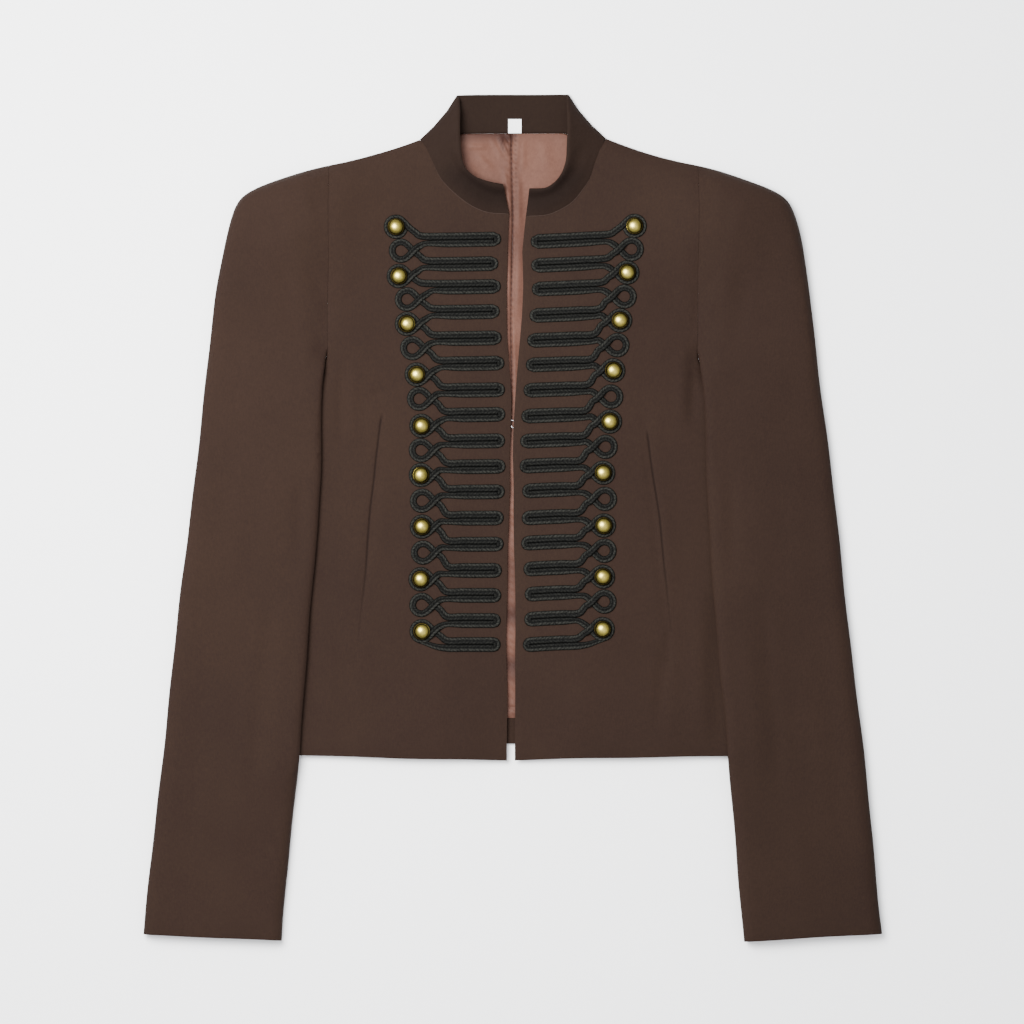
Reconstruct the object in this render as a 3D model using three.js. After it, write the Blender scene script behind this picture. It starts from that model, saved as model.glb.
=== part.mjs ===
// A short braided jacket with a stand collar and padded shoulders, laid flat on its back.
// Millimetres. X runs across the jacket, Y from hem to collar, Z up from the table.
// The wearer's right side is at -X. Each piece is a cloth wall or a hard piece of its own.
import * as THREE from 'three';
import { mergeVertices } from 'three/addons/utils/BufferGeometryUtils.js';

// Cloth and gaps
const CLOTH = 1.6; // suiting with its interlining
const COLLAR_CLOTH = 2.2; // two layers and a stiffener
const LINING = 1.0;
const SEAM_GAP = 0.3;
const TRIM_GAP = 0.4; // what lies on a panel, over its facets

// Lengths that give the cut
const COLLAR_TOP_Y = 359.8;
const BACK_NECK_Y = 326.8;
const BACK_HEM_Y = -191.8; // at the centre back, where it shows in the front gap
const LINING_END_Y = -170.1;
const ARMHOLE_X = 157.1; // the straight stretch of the armhole seam
const ARMHOLE_FOOT_Y = 141; // where that seam runs in under the sleeve
const SHOW_MARGIN = 19; // half width of what is built inside the front gap

// Heights of the outer surface over the table
const EDGE_HEIGHT = 6.6; // centre-front edges
const CHEST_HEIGHT = 9.4;
const SIDE_HEIGHT = 7.8; // under the sleeves
const SLEEVE_HEIGHT = 12.4;
const OVER_BODY_RISE = 2.8; // more height where a sleeve lies on the body
const PAD_RISE = 12.5; // shoulder pad and sleeve head
const PAD = { x: 176, y: 254, halfX: 50, halfY: 46 };
const ARMHOLE_DIP = 1.1;
const DART_DIP = 1.0;

// Widths over which an edge rounds off
const SIDE_ROUND = 14;
const SHOULDER_ROUND = 22;

// Braid, buttons, hook and eye
const CORD_WIDTH = 6;
const RING_CORD_WIDTH = 5;
const CORD_HEIGHT = 1.6;
const CORD_HALF_PITCH = 3.15; // from a bar's middle to each of its two cords
const CORD_LIFT = 1.9; // the upper cord at a crossing
const RING_RADIUS = 7.3;
const BUTTON_RADIUS = 7.2;
const BUTTON_TOP = 8.1;
const WIRE = 1.1;
const CLOSING_Y = 82;

// Front edges: distance from the centre line, wearer's right and left
const FRONT_EDGE = [
  { y: -206.2, right: 5.6, left: 1.2 },
  { y: -150, right: 5.2, left: 1.5 },
  { y: -104, right: 5.3, left: 2.9 },
  { y: -70, right: 5.2, left: 2.1 },
  { y: -28, right: 4.6, left: 1.4 },
  { y: 12, right: 3.8, left: -0.3 },
  { y: 49, right: 3.3, left: -0.5 },
  { y: 73, right: 2.4, left: 0.2 },
  { y: 88, right: 1.0, left: 0.9 },
  { y: 110, right: 1.8, left: 2.4 },
  { y: 147, right: 4.0, left: 6.4 },
  { y: 185, right: 5.8, left: 8.9 },
  { y: 219, right: 5.2, left: 7.7 },
  { y: 240, right: 4.3, left: 8.0 },
  { y: 258, right: 4.0, left: 10.2 },
];

// Waist dart: its distance from the centre line, fading towards the hem
const DART = [
  { y: -206, x: 139, depth: 0 },
  { y: -127, x: 136, depth: 0.2 },
  { y: -58, x: 127, depth: 1 },
  { y: 0, x: 120, depth: 1 },
  { y: 50, x: 115, depth: 1 },
  { y: 88, x: 112, depth: 0.5 },
  { y: 110, x: 110, depth: 0 },
  { y: 330, x: 106, depth: 0 },
];

// Outer end of each body row: side seam, armhole curve, armhole line. closing is 1 where
// the front comes down to the back, 0 where it runs on into the sleeve.
const BODY_ROWS = [
  { outX: 200.5, outY: -201.5, edgeY: -206.2, closing: 1 },
  { outX: 201.2, outY: -150, edgeY: -153, closing: 1 },
  { outX: 202.6, outY: -95, edgeY: -98, closing: 1 },
  { outX: 204.4, outY: -40, edgeY: -43, closing: 1 },
  { outX: 206.2, outY: 12, edgeY: 8, closing: 1 },
  { outX: 207.8, outY: 58, edgeY: 52, closing: 1 },
  { outX: 208.4, outY: 88, edgeY: 80, closing: 1 },
  { outX: 192, outY: 96, edgeY: 100, closing: 1 },
  { outX: 175, outY: 107, edgeY: 118, closing: 1 },
  { outX: 163.5, outY: 121, edgeY: 135, closing: 0.9 },
  { outX: 157.8, outY: 136, edgeY: 152, closing: 0.4 },
  { outX: ARMHOLE_X, outY: 152, edgeY: 170, closing: 0 },
  { outX: ARMHOLE_X, outY: 180, edgeY: 197, closing: 0 },
  { outX: ARMHOLE_X, outY: 210, edgeY: 226, closing: 0 },
];

// Collar from centre front to centre back: its seam and its top edge on each side,
// how far the top edge stands over the seam, and where the front's row from here ends
// on the armhole. Past the fold the seam belongs to the back.
const COLLAR_FRONT = [
  { seamRX: 4.0, seamRY: 258.0, topRX: 9.0, topRY: 283.0,
    seamLX: 10.4, seamLY: 256.0, topLX: 13.1, topLY: 279.3, rise: 5.6, armholeY: 234 },
  { seamRX: 20.4, seamRY: 259.2, topRX: 20.0, topRY: 284.8,
    seamLX: 27.2, seamLY: 257.1, topLX: 26.1, topLY: 279.5, rise: 7.4, armholeY: 247 },
  { seamRX: 32.5, seamRY: 263.6, topRX: 31.0, topRY: 288.4,
    seamLX: 39.1, seamLY: 261.5, topLX: 35.0, topLY: 284.4, rise: 8.4, armholeY: 258 },
  { seamRX: 43.4, seamRY: 270.6, topRX: 38.6, topRY: 293.6,
    seamLX: 50.0, seamLY: 268.5, topLX: 41.4, topLY: 292.0, rise: 8.8, armholeY: 267 },
  { seamRX: 55.2, seamRY: 281.0, topRX: 43.4, topRY: 301.2,
    seamLX: 58.6, seamLY: 278.7, topLX: 45.6, topLY: 302.8, rise: 8.8, armholeY: 276 },
  { seamRX: 62.9, seamRY: 290.6, topRX: 45.0, topRY: 313.6,
    seamLX: 65.1, seamLY: 288.6, topLX: 46.8, topLY: 315.6, rise: 8.2, armholeY: 283.5 },
  { seamRX: 69.3, seamRY: 304.8, topRX: 45.5, topRY: 329.0,
    seamLX: 69.8, seamLY: 302.2, topLX: 47.4, topLY: 330.0, rise: 6.4, armholeY: 290 },
  { seamRX: 73.4, seamRY: 314.6, topRX: 45.2, topRY: 345.4,
    seamLX: 74.2, seamLY: 313.0, topLX: 47.2, topLY: 346.4, rise: 3.2, armholeY: 295.2 },
  { seamRX: 76.9, seamRY: 320.2, topRX: 46.2, topRY: 356.6,
    seamLX: 77.6, seamLY: 319.8, topLX: 47.0, topLY: 356.8, rise: 0.6, armholeY: 298.6 },
];
const COLLAR_BACK = [
  { seamX: 79.2, seamY: 322.2, topX: 47.6, topY: COLLAR_TOP_Y - 0.4, z: 2.6, hollow: 3.0 },
  { seamX: 76.0, seamY: 322.9, topX: 46.4, topY: COLLAR_TOP_Y, z: 0, hollow: 2.4 },
  { seamX: 62.0, seamY: 325.6, topX: 41.0, topY: COLLAR_TOP_Y, z: 0, hollow: 1.0 },
  { seamX: 44.0, seamY: BACK_NECK_Y, topX: 31.0, topY: COLLAR_TOP_Y, z: 0, hollow: 0 },
  { seamX: 20.0, seamY: BACK_NECK_Y, topX: 15.0, topY: COLLAR_TOP_Y, z: 0, hollow: 0 },
];

// Shoulder line of the outline, collar to armhole
const SHOULDER_LINE = [
  { x: 79.2, y: 322.2 },
  { x: 96, y: 315.6 },
  { x: 114, y: 310.2 },
  { x: 137.7, y: 303.9 },
  { x: ARMHOLE_X, y: 299.9 },
];

// Sleeve sections from armhole to cuff: the folded inner edge and the outer edge,
// the height of the outer fold's middle and the width over which it rounds off.
const SLEEVE = [
  { inX: 157.4, inY: 141.0, outX: 157.4, outY: 299.8, edge: 1.9, round: 22 },
  { inX: 157.8, inY: 139.8, outX: 176, outY: 295.0, edge: 3.0, round: 19 },
  { inX: 158.0, inY: 138.4, outX: 200, outY: 287.0, edge: 4.2, round: 16 },
  { inX: 158.25, inY: 137.0, outX: 218.5, outY: 279.7, edge: 5.2, round: 14 },
  { inX: 158.5, inY: 135.8, outX: 229.8, outY: 272.9, edge: 5.4, round: 13 },
  { inX: 158.8, inY: 134.3, outX: 236.0, outY: 264.6, edge: 5.4, round: 13 },
  { inX: 159.2, inY: 132.0, outX: 240.3, outY: 253.4, edge: 5.4, round: 12 },
  { inX: 159.6, inY: 128.6, outX: 243.9, outY: 240.0, edge: 5.4, round: 12 },
  { inX: 160.2, inY: 124.0, outX: 247.3, outY: 223.4, edge: 5.3, round: 11 },
  { inX: 161.3, inY: 113.5, outX: 252.0, outY: 195.0, edge: 5.2, round: 11 },
  { inX: 162.0, inY: 101.0, outX: 255.6, outY: 165.0, edge: 5.2, round: 10 },
  { inX: 162.5, inY: 87.0, outX: 259.0, outY: 135.0, edge: 5.2, round: 10 },
  { inX: 162.9, inY: 72.0, outX: 262.3, outY: 106.0, edge: 5.2, round: 10 },
  { inX: 163.6, inY: 38.0, outX: 268.6, outY: 54.0, edge: 5.2, round: 10 },
  { inX: 165.6, inY: -6.0, outX: 275.2, outY: -1.0, edge: 5.2, round: 10 },
  { inX: 169.6, inY: -54.0, outX: 281.3, outY: -53.0, edge: 5.2, round: 10 },
  { inX: 173.6, inY: -104.0, outX: 287.1, outY: -105.0, edge: 5.2, round: 10 },
  { inX: 177.8, inY: -153.0, outX: 292.6, outY: -153.0, edge: 5.2, round: 10 },
  { inX: 182.1, inY: -204.0, outX: 298.3, outY: -203.0, edge: 5.2, round: 10 },
  { inX: 183.7, inY: -221.0, outX: 300.1, outY: -219.0, edge: 5.2, round: 10 },
  { inX: 185.6, inY: -240.0, outX: 302.1, outY: -237.0, edge: 5.2, round: 10 },
  { inX: 189.6, inY: -281.0, outX: 306.3, outY: -277.0, edge: 5.2, round: 10 },
  { inX: 193.4, inY: -324.0, outX: 310.4, outY: -318.0, edge: 5.2, round: 10 },
  { inX: 196.4, inY: -359.8, outX: 314.1, outY: -353.8, edge: 5.2, round: 10 },
];
const INNER_ROUND = 6.4; // the fold over the body
const INNER_FOLD_SHARE = 0.45; // how high between table side and top its middle lies
const UNDER_ROUND = 5; // both folds, on the table side
const SLEEVE_SEAM_IN = 16; // the under sleeve starts this far in from each fold
const SLEEVE_SEAM_GAP = 0.7; // so that the two stay apart where the cloth turns

// Bars of braid, top to bottom: a bar's middle, its front end, and the ring beside it
const BRAID_RIGHT = [
  { y: 236.7, frontX: 10.2, ringX: 99.6, ringY: 247.4 },
  { y: 216.0, frontX: 12.6, ringX: 95.5, ringY: 227.1 },
  { y: 196.6, frontX: 10.5, ringX: 97.2, ringY: 205.6 },
  { y: 175.3, frontX: 11.0, ringX: 89.8, ringY: 185.9 },
  { y: 152.9, frontX: 8.9, ringX: 89.4, ringY: 165.0 },
  { y: 131.5, frontX: 6.8, ringX: 85.0, ringY: 144.4 },
  { y: 108.9, frontX: 6.8, ringX: 81.6, ringY: 122.0 },
  { y: 88.0, frontX: 6.5, ringX: 79.6, ringY: 101.4 },
  { y: 65.6, frontX: 6.8, ringX: 77.6, ringY: 78.4 },
  { y: 43.9, frontX: 6.8, ringX: 78.5, ringY: 57.6 },
  { y: 22.4, frontX: 7.7, ringX: 78.9, ringY: 36.6 },
  { y: 0.1, frontX: 8.2, ringX: 77.8, ringY: 14.8 },
  { y: -22.1, frontX: 7.7, ringX: 77.4, ringY: -7.2 },
  { y: -44.4, frontX: 9.3, ringX: 76.4, ringY: -29.2 },
  { y: -65.6, frontX: 9.8, ringX: 78.4, ringY: -51.8 },
  { y: -87.0, frontX: 9.8, ringX: 77.3, ringY: -73.6 },
  { y: -107.4, frontX: 9.8, ringX: 76.8, ringY: -96.0 },
];
const BRAID_LEFT = [
  { y: 236.0, frontX: 14.8, ringX: 102.6, ringY: 247.8 },
  { y: 215.6, frontX: 15.3, ringX: 100.6, ringY: 228.0 },
  { y: 195.4, frontX: 15.8, ringX: 97.1, ringY: 208.2 },
  { y: 172.9, frontX: 14.3, ringX: 94.7, ringY: 187.7 },
  { y: 151.6, frontX: 12.8, ringX: 91.2, ringY: 167.4 },
  { y: 130.7, frontX: 11.4, ringX: 89.2, ringY: 146.4 },
  { y: 109.1, frontX: 8.9, ringX: 85.7, ringY: 125.0 },
  { y: 87.1, frontX: 7.0, ringX: 83.3, ringY: 102.8 },
  { y: 65.9, frontX: 6.0, ringX: 82.1, ringY: 81.6 },
  { y: 44.6, frontX: 5.1, ringX: 78.4, ringY: 60.2 },
  { y: 23.5, frontX: 7.0, ringX: 76.2, ringY: 38.2 },
  { y: 0.6, frontX: 7.0, ringX: 77.3, ringY: 16.0 },
  { y: -20.8, frontX: 7.0, ringX: 76.7, ringY: -6.6 },
  { y: -42.8, frontX: 9.0, ringX: 77.8, ringY: -28.0 },
  { y: -64.2, frontX: 10.0, ringX: 76.7, ringY: -50.0 },
  { y: -85.4, frontX: 10.0, ringX: 77.8, ringY: -71.2 },
  { y: -107.0, frontX: 9.0, ringX: 76.5, ringY: -94.6 },
];
const BAR_TILT = { right: 0, left: 0.045 }; // the left side's bars climb outwards

// Finishes
const cloth = new THREE.MeshStandardMaterial({ color: 0x4b382f, roughness: 0.86 });
const satin = new THREE.MeshStandardMaterial({ color: 0xa47c70, roughness: 0.45 });
const white = new THREE.MeshStandardMaterial({ color: 0xf6f6f2, roughness: 0.7 });
const cord = new THREE.MeshStandardMaterial({ color: 0x242422, roughness: 0.75 });
const brass = new THREE.MeshStandardMaterial({ color: 0xa58f4e, roughness: 0.35, metalness: 1 });
const steel = new THREE.MeshStandardMaterial({ color: 0xb8b8ba, roughness: 0.3, metalness: 1 });

const jacket = new THREE.Group();
jacket.name = 'jacket';

const clamp01 = (t) => Math.min(Math.max(t, 0), 1);
const ease = (t) => clamp01(t) ** 2 * (3 - 2 * clamp01(t));
const mix = (a, b, t) => a + (b - a) * t;
const sideName = (side) => (side < 0 ? 'right' : 'left');

// A column of a table at a place between its rows.
function lookUp(table, inKey, outKey, value) {
  const rows = [...table].sort((a, b) => a[inKey] - b[inKey]);
  const above = rows.findIndex((row) => row[inKey] >= value);
  if (above < 0) return rows[rows.length - 1][outKey];
  if (above === 0) return rows[0][outKey];
  const [low, high] = [rows[above - 1], rows[above]];
  return mix(low[outKey], high[outKey], (value - low[inKey]) / (high[inKey] - low[inKey]));
}

// A quarter ellipse: 0 at an edge, 1 from the given width inwards.
function rounding(distance, width) {
  const t = clamp01(distance / width);
  return Math.sqrt(1 - (1 - t) ** 2);
}

function addMesh(name, geometry, material) {
  const mesh = new THREE.Mesh(geometry, material);
  mesh.name = name;
  jacket.add(mesh);
}

// Closed geometry from corners and faces, turned to face out.
function closedGeometry(points, faces) {
  const volume = faces.reduce((sum, [a, b, c]) => (
    sum + points[a].dot(new THREE.Vector3().crossVectors(points[b], points[c]))), 0);
  const geometry = new THREE.BufferGeometry().setFromPoints(points);
  geometry.setIndex(faces.flatMap(([a, b, c]) => (volume > 0 ? [a, b, c] : [a, c, b])));
  return geometry;
}

// Faces of a closed band between two like grids of rows and columns, with its four edges.
function wallFaces(rowCount, columnCount) {
  const size = rowCount * columnCount;
  const at = (i, j) => i * columnCount + j;
  const faces = [];
  const quad = (a, b, c, d) => faces.push([a, b, c], [a, c, d]);
  for (let i = 0; i + 1 < rowCount; i += 1) {
    for (let j = 0; j + 1 < columnCount; j += 1) {
      quad(at(i, j), at(i, j + 1), at(i + 1, j + 1), at(i + 1, j));
      quad(size + at(i, j), size + at(i + 1, j), size + at(i + 1, j + 1), size + at(i, j + 1));
    }
  }
  const edge = [];
  for (let j = 0; j < columnCount; j += 1) edge.push(at(0, j));
  for (let i = 1; i < rowCount; i += 1) edge.push(at(i, columnCount - 1));
  for (let j = columnCount - 2; j >= 0; j -= 1) edge.push(at(rowCount - 1, j));
  for (let i = rowCount - 2; i > 0; i -= 1) edge.push(at(i, 0));
  edge.forEach((a, k) => {
    const b = edge[(k + 1) % edge.length];
    quad(b, a, size + a, size + b);
  });
  return faces;
}

// The other face of a wall whose outer face is given in rows: thickness along the normals,
// on the side that columns x rows point to where turn is 1. ring joins each row's ends.
function innerFace(rows, thickness, turn, ring = false) {
  const last = rows.length - 1;
  return rows.map((row, i) => row.map((point, j) => {
    const end = row.length - 1;
    const [before, after] = ring
      ? [(j + end) % row.length, (j + 1) % row.length]
      : [Math.max(j - 1, 0), Math.min(j + 1, end)];
    const along = rows[Math.min(i + 1, last)][j].clone().sub(rows[Math.max(i - 1, 0)][j]);
    const across = row[after].clone().sub(row[before]);
    const normal = across.cross(along).normalize();
    return point.clone().addScaledVector(normal, turn * thickness);
  }));
}

function wall(outer, inner) {
  return closedGeometry([...outer.flat(), ...inner.flat()], wallFaces(outer.length, outer[0].length));
}

// Height of the jacket's front over the table, before any edge rounds it off.
function frontHeight(x, y) {
  const fromEdge = ease((x - 3) / 62);
  const underSleeve = ease((x - 128) / 34) * ease((152 - y) / 44);
  const pad = Math.exp(-(((x - PAD.x) / PAD.halfX) ** 2) - ((y - PAD.y) / PAD.halfY) ** 2);
  const dip = Math.exp(-(((x - ARMHOLE_X) / 6) ** 2)) * ease((y - 150) / 30);
  return mix(EDGE_HEIGHT, CHEST_HEIGHT, fromEdge)
    - underSleeve * (CHEST_HEIGHT - SIDE_HEIGHT)
    + pad * PAD_RISE
    - dip * ARMHOLE_DIP;
}

// The same with the shoulder line rounded down to the back's edge.
function frontSurface(x, y) {
  const base = CLOTH + SEAM_GAP;
  const toShoulder = lookUp(SHOULDER_LINE, 'x', 'y', x) - y;
  return mix(base, frontHeight(x, y), rounding(toShoulder, SHOULDER_ROUND));
}

// A collar seam point on one side, moved from the collar by the given distance.
function collarSeam(row, side, away) {
  const key = side < 0 ? 'R' : 'L';
  const seam = new THREE.Vector2(row[`seam${key}X`], row[`seam${key}Y`]);
  const top = new THREE.Vector2(row[`top${key}X`], row[`top${key}Y`]);
  return seam.clone().addScaledVector(seam.clone().sub(top).normalize(), away);
}

// Front: rows from the front edge or the collar seam out to the side or the armhole.
function frontRows(side) {
  const edgeKey = sideName(side);
  const rows = BODY_ROWS.map((row) => ({
    from: new THREE.Vector2(lookUp(FRONT_EDGE, 'y', edgeKey, row.edgeY), row.edgeY),
    to: new THREE.Vector2(row.outX, row.outY),
    closing: row.closing,
    sag: 0,
  }));
  COLLAR_FRONT.forEach((row, k) => rows.push({
    from: collarSeam(row, side, SEAM_GAP + 0.05),
    to: new THREE.Vector2(ARMHOLE_X, row.armholeY),
    closing: 0,
    sag: 2 * ease(k / (COLLAR_FRONT.length - 1)),
  }));
  rows.push({
    from: new THREE.Vector2(79.4, 322.0),
    to: new THREE.Vector2(ARMHOLE_X, 299.8),
    closing: 0,
    sag: 2,
  });
  return rows;
}

const DART_FLANK = 5;
const OUTER_STEPS = [SIDE_ROUND, 6, 2, 0.5, 0];

function frontPanel(side) {
  const grid = frontRows(side).map(({ from, to, closing, sag }) => {
    const width = to.x - from.x;
    const dartX = lookUp(DART, 'y', 'x', mix(from.y, to.y, 0.6));
    const near = dartX - DART_FLANK - from.x;
    const far = width - (dartX + DART_FLANK - from.x) - SIDE_ROUND;
    const steps = [0, near * 0.2, near * 0.45, near * 0.75, near, near + DART_FLANK];
    steps.push(near + 2 * DART_FLANK, width - SIDE_ROUND - far * 0.5);
    OUTER_STEPS.forEach((d) => steps.push(width - d));
    return steps.map((step, j) => {
      const t = step / width;
      const x = from.x + step;
      const y = mix(from.y, to.y, t) - sag * 4 * t * (1 - t);
      const down = mix(1, rounding(width - step, SIDE_ROUND), closing);
      const groove = j === 5 ? DART_DIP * lookUp(DART, 'y', 'depth', y) : 0;
      const z = mix(CLOTH + SEAM_GAP, frontSurface(x, y), down) - groove;
      return new THREE.Vector3(side * x, y, z);
    });
  });
  const inner = innerFace(grid, CLOTH, -side);
  inner.forEach((row) => row.forEach((point) => {
    point.z = Math.max(point.z, CLOTH + SEAM_GAP);
  }));
  grid.forEach((row, i) => {
    const armhole = Math.abs(row[row.length - 1].x);
    const tip = inner[i][row.length - 1];
    tip.x = side * Math.min(Math.abs(tip.x), armhole);
  });
  return wall(grid, inner);
}

// Flat pieces on the table: an outline and a thickness.
function flatPiece(outline, thickness, z) {
  const shape = new THREE.Shape(outline.map(([x, y]) => new THREE.Vector2(x, y)));
  const geometry = new THREE.ExtrudeGeometry(shape, { depth: thickness, bevelEnabled: false });
  geometry.translate(0, 0, z);
  geometry.deleteAttribute('normal');
  geometry.deleteAttribute('uv');
  return mergeVertices(geometry);
}

function backPanel() {
  const half = BODY_ROWS.map(({ outX, outY }) => [outX, outY]);
  [...SHOULDER_LINE].reverse().forEach(({ x, y }) => half.push([x, y - 2 * SEAM_GAP]));
  half.push([76, 321.2], [62, 324.6], [44, BACK_NECK_Y - SEAM_GAP]);
  const hem = [[100, mix(BACK_HEM_Y, -201.5, 0.3)], [30, BACK_HEM_Y]];
  const other = [...half].reverse().map(([x, y]) => [-x, y]);
  const leftHem = hem.map(([x, y]) => [-x, y]);
  return flatPiece([...[...hem].reverse(), ...half, ...other, ...leftHem], CLOTH, 0);
}

// Distance inside the body's outline, as the sleeve that lies over it sees it.
const ARMHOLE_CURVE = BODY_ROWS.slice(6, 11).map(({ outX, outY }) => ({ x: outX, y: outY }));
const CURVE_SPREAD = 10.5; // how far the drape runs on past the armhole curve and the hem
const HEM_SPREAD = 9;
const CURVE_FROM_X = 160; // where the curve leaves the straight armhole, and over how far
const CURVE_BLEND = 15;

function insideBody(x, y) {
  const fromLine = ease((x - CURVE_FROM_X) / CURVE_BLEND);
  const side = lookUp(BODY_ROWS.slice(0, 7), 'outY', 'outX', y) - x;
  const armhole = lookUp(ARMHOLE_CURVE, 'x', 'y', x) - y + CURVE_SPREAD * fromLine;
  const slope = armhole < 0 ? mix(1, 0.5, fromLine) : 1;
  return Math.min(side, armhole * slope, y - BODY_ROWS[0].outY + HEM_SPREAD);
}

// Table side of a sleeve: on the table, or up over the body's side.
const DRAPE_OUT = 13;
const DRAPE_IN = 6;
const DRAPE_CLEAR = 0.9;

function sleeveFloor(x, y) {
  const drape = ease((insideBody(x, y) + DRAPE_OUT) / (DRAPE_OUT + DRAPE_IN));
  return drape * (frontHeight(x, y) + DRAPE_CLEAR);
}

// Top of a sleeve before its folds round it off: it starts at the front's own height.
const RISE_OUT = 45; // the rise over the body starts this far outside it
const RISE_RUN = 55;
const HEAD_RUN = 22; // from the armhole seam to the sleeve's own height

function sleeveCeiling(x, y) {
  const overBody = ease((insideBody(x, y) + RISE_OUT) / RISE_RUN);
  const pad = Math.exp(-(((x - PAD.x) / PAD.halfX) ** 2) - ((y - PAD.y) / PAD.halfY) ** 2);
  const own = SLEEVE_HEIGHT + OVER_BODY_RISE * overBody + pad * (PAD_RISE - 2);
  const fromSeam = Math.hypot(x - ARMHOLE_X, Math.min(0, y - ARMHOLE_FOOT_Y));
  const atSeam = frontHeight(ARMHOLE_X, Math.max(y, ARMHOLE_FOOT_Y));
  return mix(atSeam, own, ease(fromSeam / HEAD_RUN));
}

// One section of a sleeve, at a distance from its inner fold, on its top or table side.
function sleevePoint(section, distance, onTop, side) {
  const { inX, inY, outX, outY, edge, round } = section;
  const width = Math.hypot(outX - inX, outY - inY);
  const t = distance / width;
  const x = mix(inX, outX, t);
  const y = mix(inY, outY, t);
  const floor = sleeveFloor(x, y);
  const innerEdge = mix(sleeveFloor(inX, inY), sleeveCeiling(inX, inY), INNER_FOLD_SHARE);
  const fold = mix(innerEdge, edge, ease(t));
  const ceiling = sleeveCeiling(x, y);
  const z = onTop
    ? mix(fold, ceiling, rounding(distance, INNER_ROUND) * rounding(width - distance, round))
    : mix(fold, floor, rounding(distance, UNDER_ROUND) * rounding(width - distance, UNDER_ROUND));
  return new THREE.Vector3(side * x, y, z);
}

const FOLD_STEPS = [0.9, 3.2, 8.5];
const LIP_STEPS = [SLEEVE_SEAM_IN, 6, 1.6];
const UNDER_SHARES = [0, 0.07, 0.15, 0.24, 0.34, 0.46, 0.6, 0.8, 1];

// Both pieces of a sleeve, as one ring of cloth parted at its two seams.
function sleevePieces(side) {
  const grid = SLEEVE.map((section) => {
    const width = Math.hypot(section.outX - section.inX, section.outY - section.inY);
    const point = (distance, onTop) => sleevePoint(section, distance, onTop, side);
    const top = [0, ...FOLD_STEPS, 20, 0.36 * width, 0.52 * width, 0.68 * width, width - 22];
    [0, ...FOLD_STEPS].reverse().forEach((step) => top.push(width - step));
    const start = SLEEVE_SEAM_IN + SLEEVE_SEAM_GAP;
    const under = UNDER_SHARES.map((share) => mix(width - start, start, share));
    return [
      ...LIP_STEPS.map((step) => point(step, false)),
      ...top.map((step) => point(step, true)),
      ...[...LIP_STEPS].reverse().map((step) => point(width - step, false)),
      ...under.map((step) => point(step, false)),
    ];
  });
  const inner = innerFace(grid, CLOTH, side, true);
  inner[0].forEach((point) => {
    point.x = side * Math.max(Math.abs(point.x), SLEEVE[0].inX);
  });
  const upperCount = grid[0].length - UNDER_SHARES.length;
  const cut = (rows, from, to) => rows.map((row) => row.slice(from, to));
  return {
    upper: wall(cut(grid, 0, upperCount), cut(inner, 0, upperCount)),
    under: wall(cut(grid, upperCount), cut(inner, upperCount)),
  };
}

// Collar: rulings from the seam to the top edge, outer face first.
const RULING_STEPS = [0, 0.3, 0.65, 1];

function collarRulings(side) {
  const key = side < 0 ? 'R' : 'L';
  const front = COLLAR_FRONT.map((row) => {
    const z = frontSurface(row[`seam${key}X`], row[`seam${key}Y`]);
    return {
      seam: new THREE.Vector3(row[`seam${key}X`], row[`seam${key}Y`], z),
      top: new THREE.Vector3(row[`top${key}X`], row[`top${key}Y`], z + row.rise),
      hollow: 0,
    };
  });
  front[front.length - 1].hollow = 2.4;
  front[front.length - 1].seam.z = 6.2;
  front[front.length - 1].top.z = 6.2;
  const back = COLLAR_BACK.map((row) => ({
    seam: new THREE.Vector3(row.seamX, row.seamY, row.z),
    top: new THREE.Vector3(row.topX, row.topY, row.z),
    hollow: row.hollow,
  }));
  return [...front, ...back].map(({ seam, top, hollow }) => RULING_STEPS.map((t) => {
    const point = seam.clone().lerp(top, t);
    point.x -= hollow * 4 * t * (1 - t);
    point.x *= side;
    return point;
  }));
}

function collarStand() {
  const left = collarRulings(1);
  const middle = RULING_STEPS.map((t) => (
    new THREE.Vector3(0, mix(BACK_NECK_Y, COLLAR_TOP_Y, t), 0)));
  const rulings = [...collarRulings(-1), middle, ...left.reverse()];
  return wall(rulings, innerFace(rulings, COLLAR_CLOTH, -1));
}

// Lining where the neck and the front gap show it, with its centre-back pleat.
const LINING_ROWS = [
  { y: BACK_NECK_Y - SEAM_GAP, half: 43, pleat: 1.2 },
  { y: 321, half: 57, pleat: 1.4 },
  { y: 312, half: 58, pleat: 1.6 },
  { y: 296, half: 55, pleat: 1.2 },
  { y: 282, half: 46, pleat: 0.9 },
  { y: 268, half: 32, pleat: 0.8 },
  { y: 254, half: SHOW_MARGIN + 3, pleat: 0.8 },
  { y: 150, half: SHOW_MARGIN, pleat: 0.6 },
  { y: 20, half: SHOW_MARGIN, pleat: 0.5 },
  { y: -80, half: SHOW_MARGIN, pleat: 0.5 },
  { y: LINING_END_Y, half: SHOW_MARGIN, pleat: 0.4 },
];
const PLEAT_X = -1.5;
const PLEAT_LIP = 1.2;

function backLining() {
  const base = CLOTH + SEAM_GAP + LINING;
  const grid = LINING_ROWS.map(({ y, half, pleat }) => {
    const columns = [
      [-half, 0], [-half / 2, 0], [PLEAT_X - 4, 0], [PLEAT_X, 0], [PLEAT_X + PLEAT_LIP, 1],
      [PLEAT_X + 5, 0.7], [half / 2, 0.2], [half, 0],
    ];
    return columns.map(([x, rise]) => new THREE.Vector3(x, y, base + rise * pleat));
  });
  return wall(grid, innerFace(grid, LINING, 1));
}

function backHemFacing() {
  const top = LINING_END_Y - SEAM_GAP;
  return flatPiece([
    [-SHOW_MARGIN, BACK_HEM_Y], [SHOW_MARGIN, BACK_HEM_Y], [SHOW_MARGIN, top],
    [-SHOW_MARGIN, top],
  ], LINING, CLOTH + SEAM_GAP);
}

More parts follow.
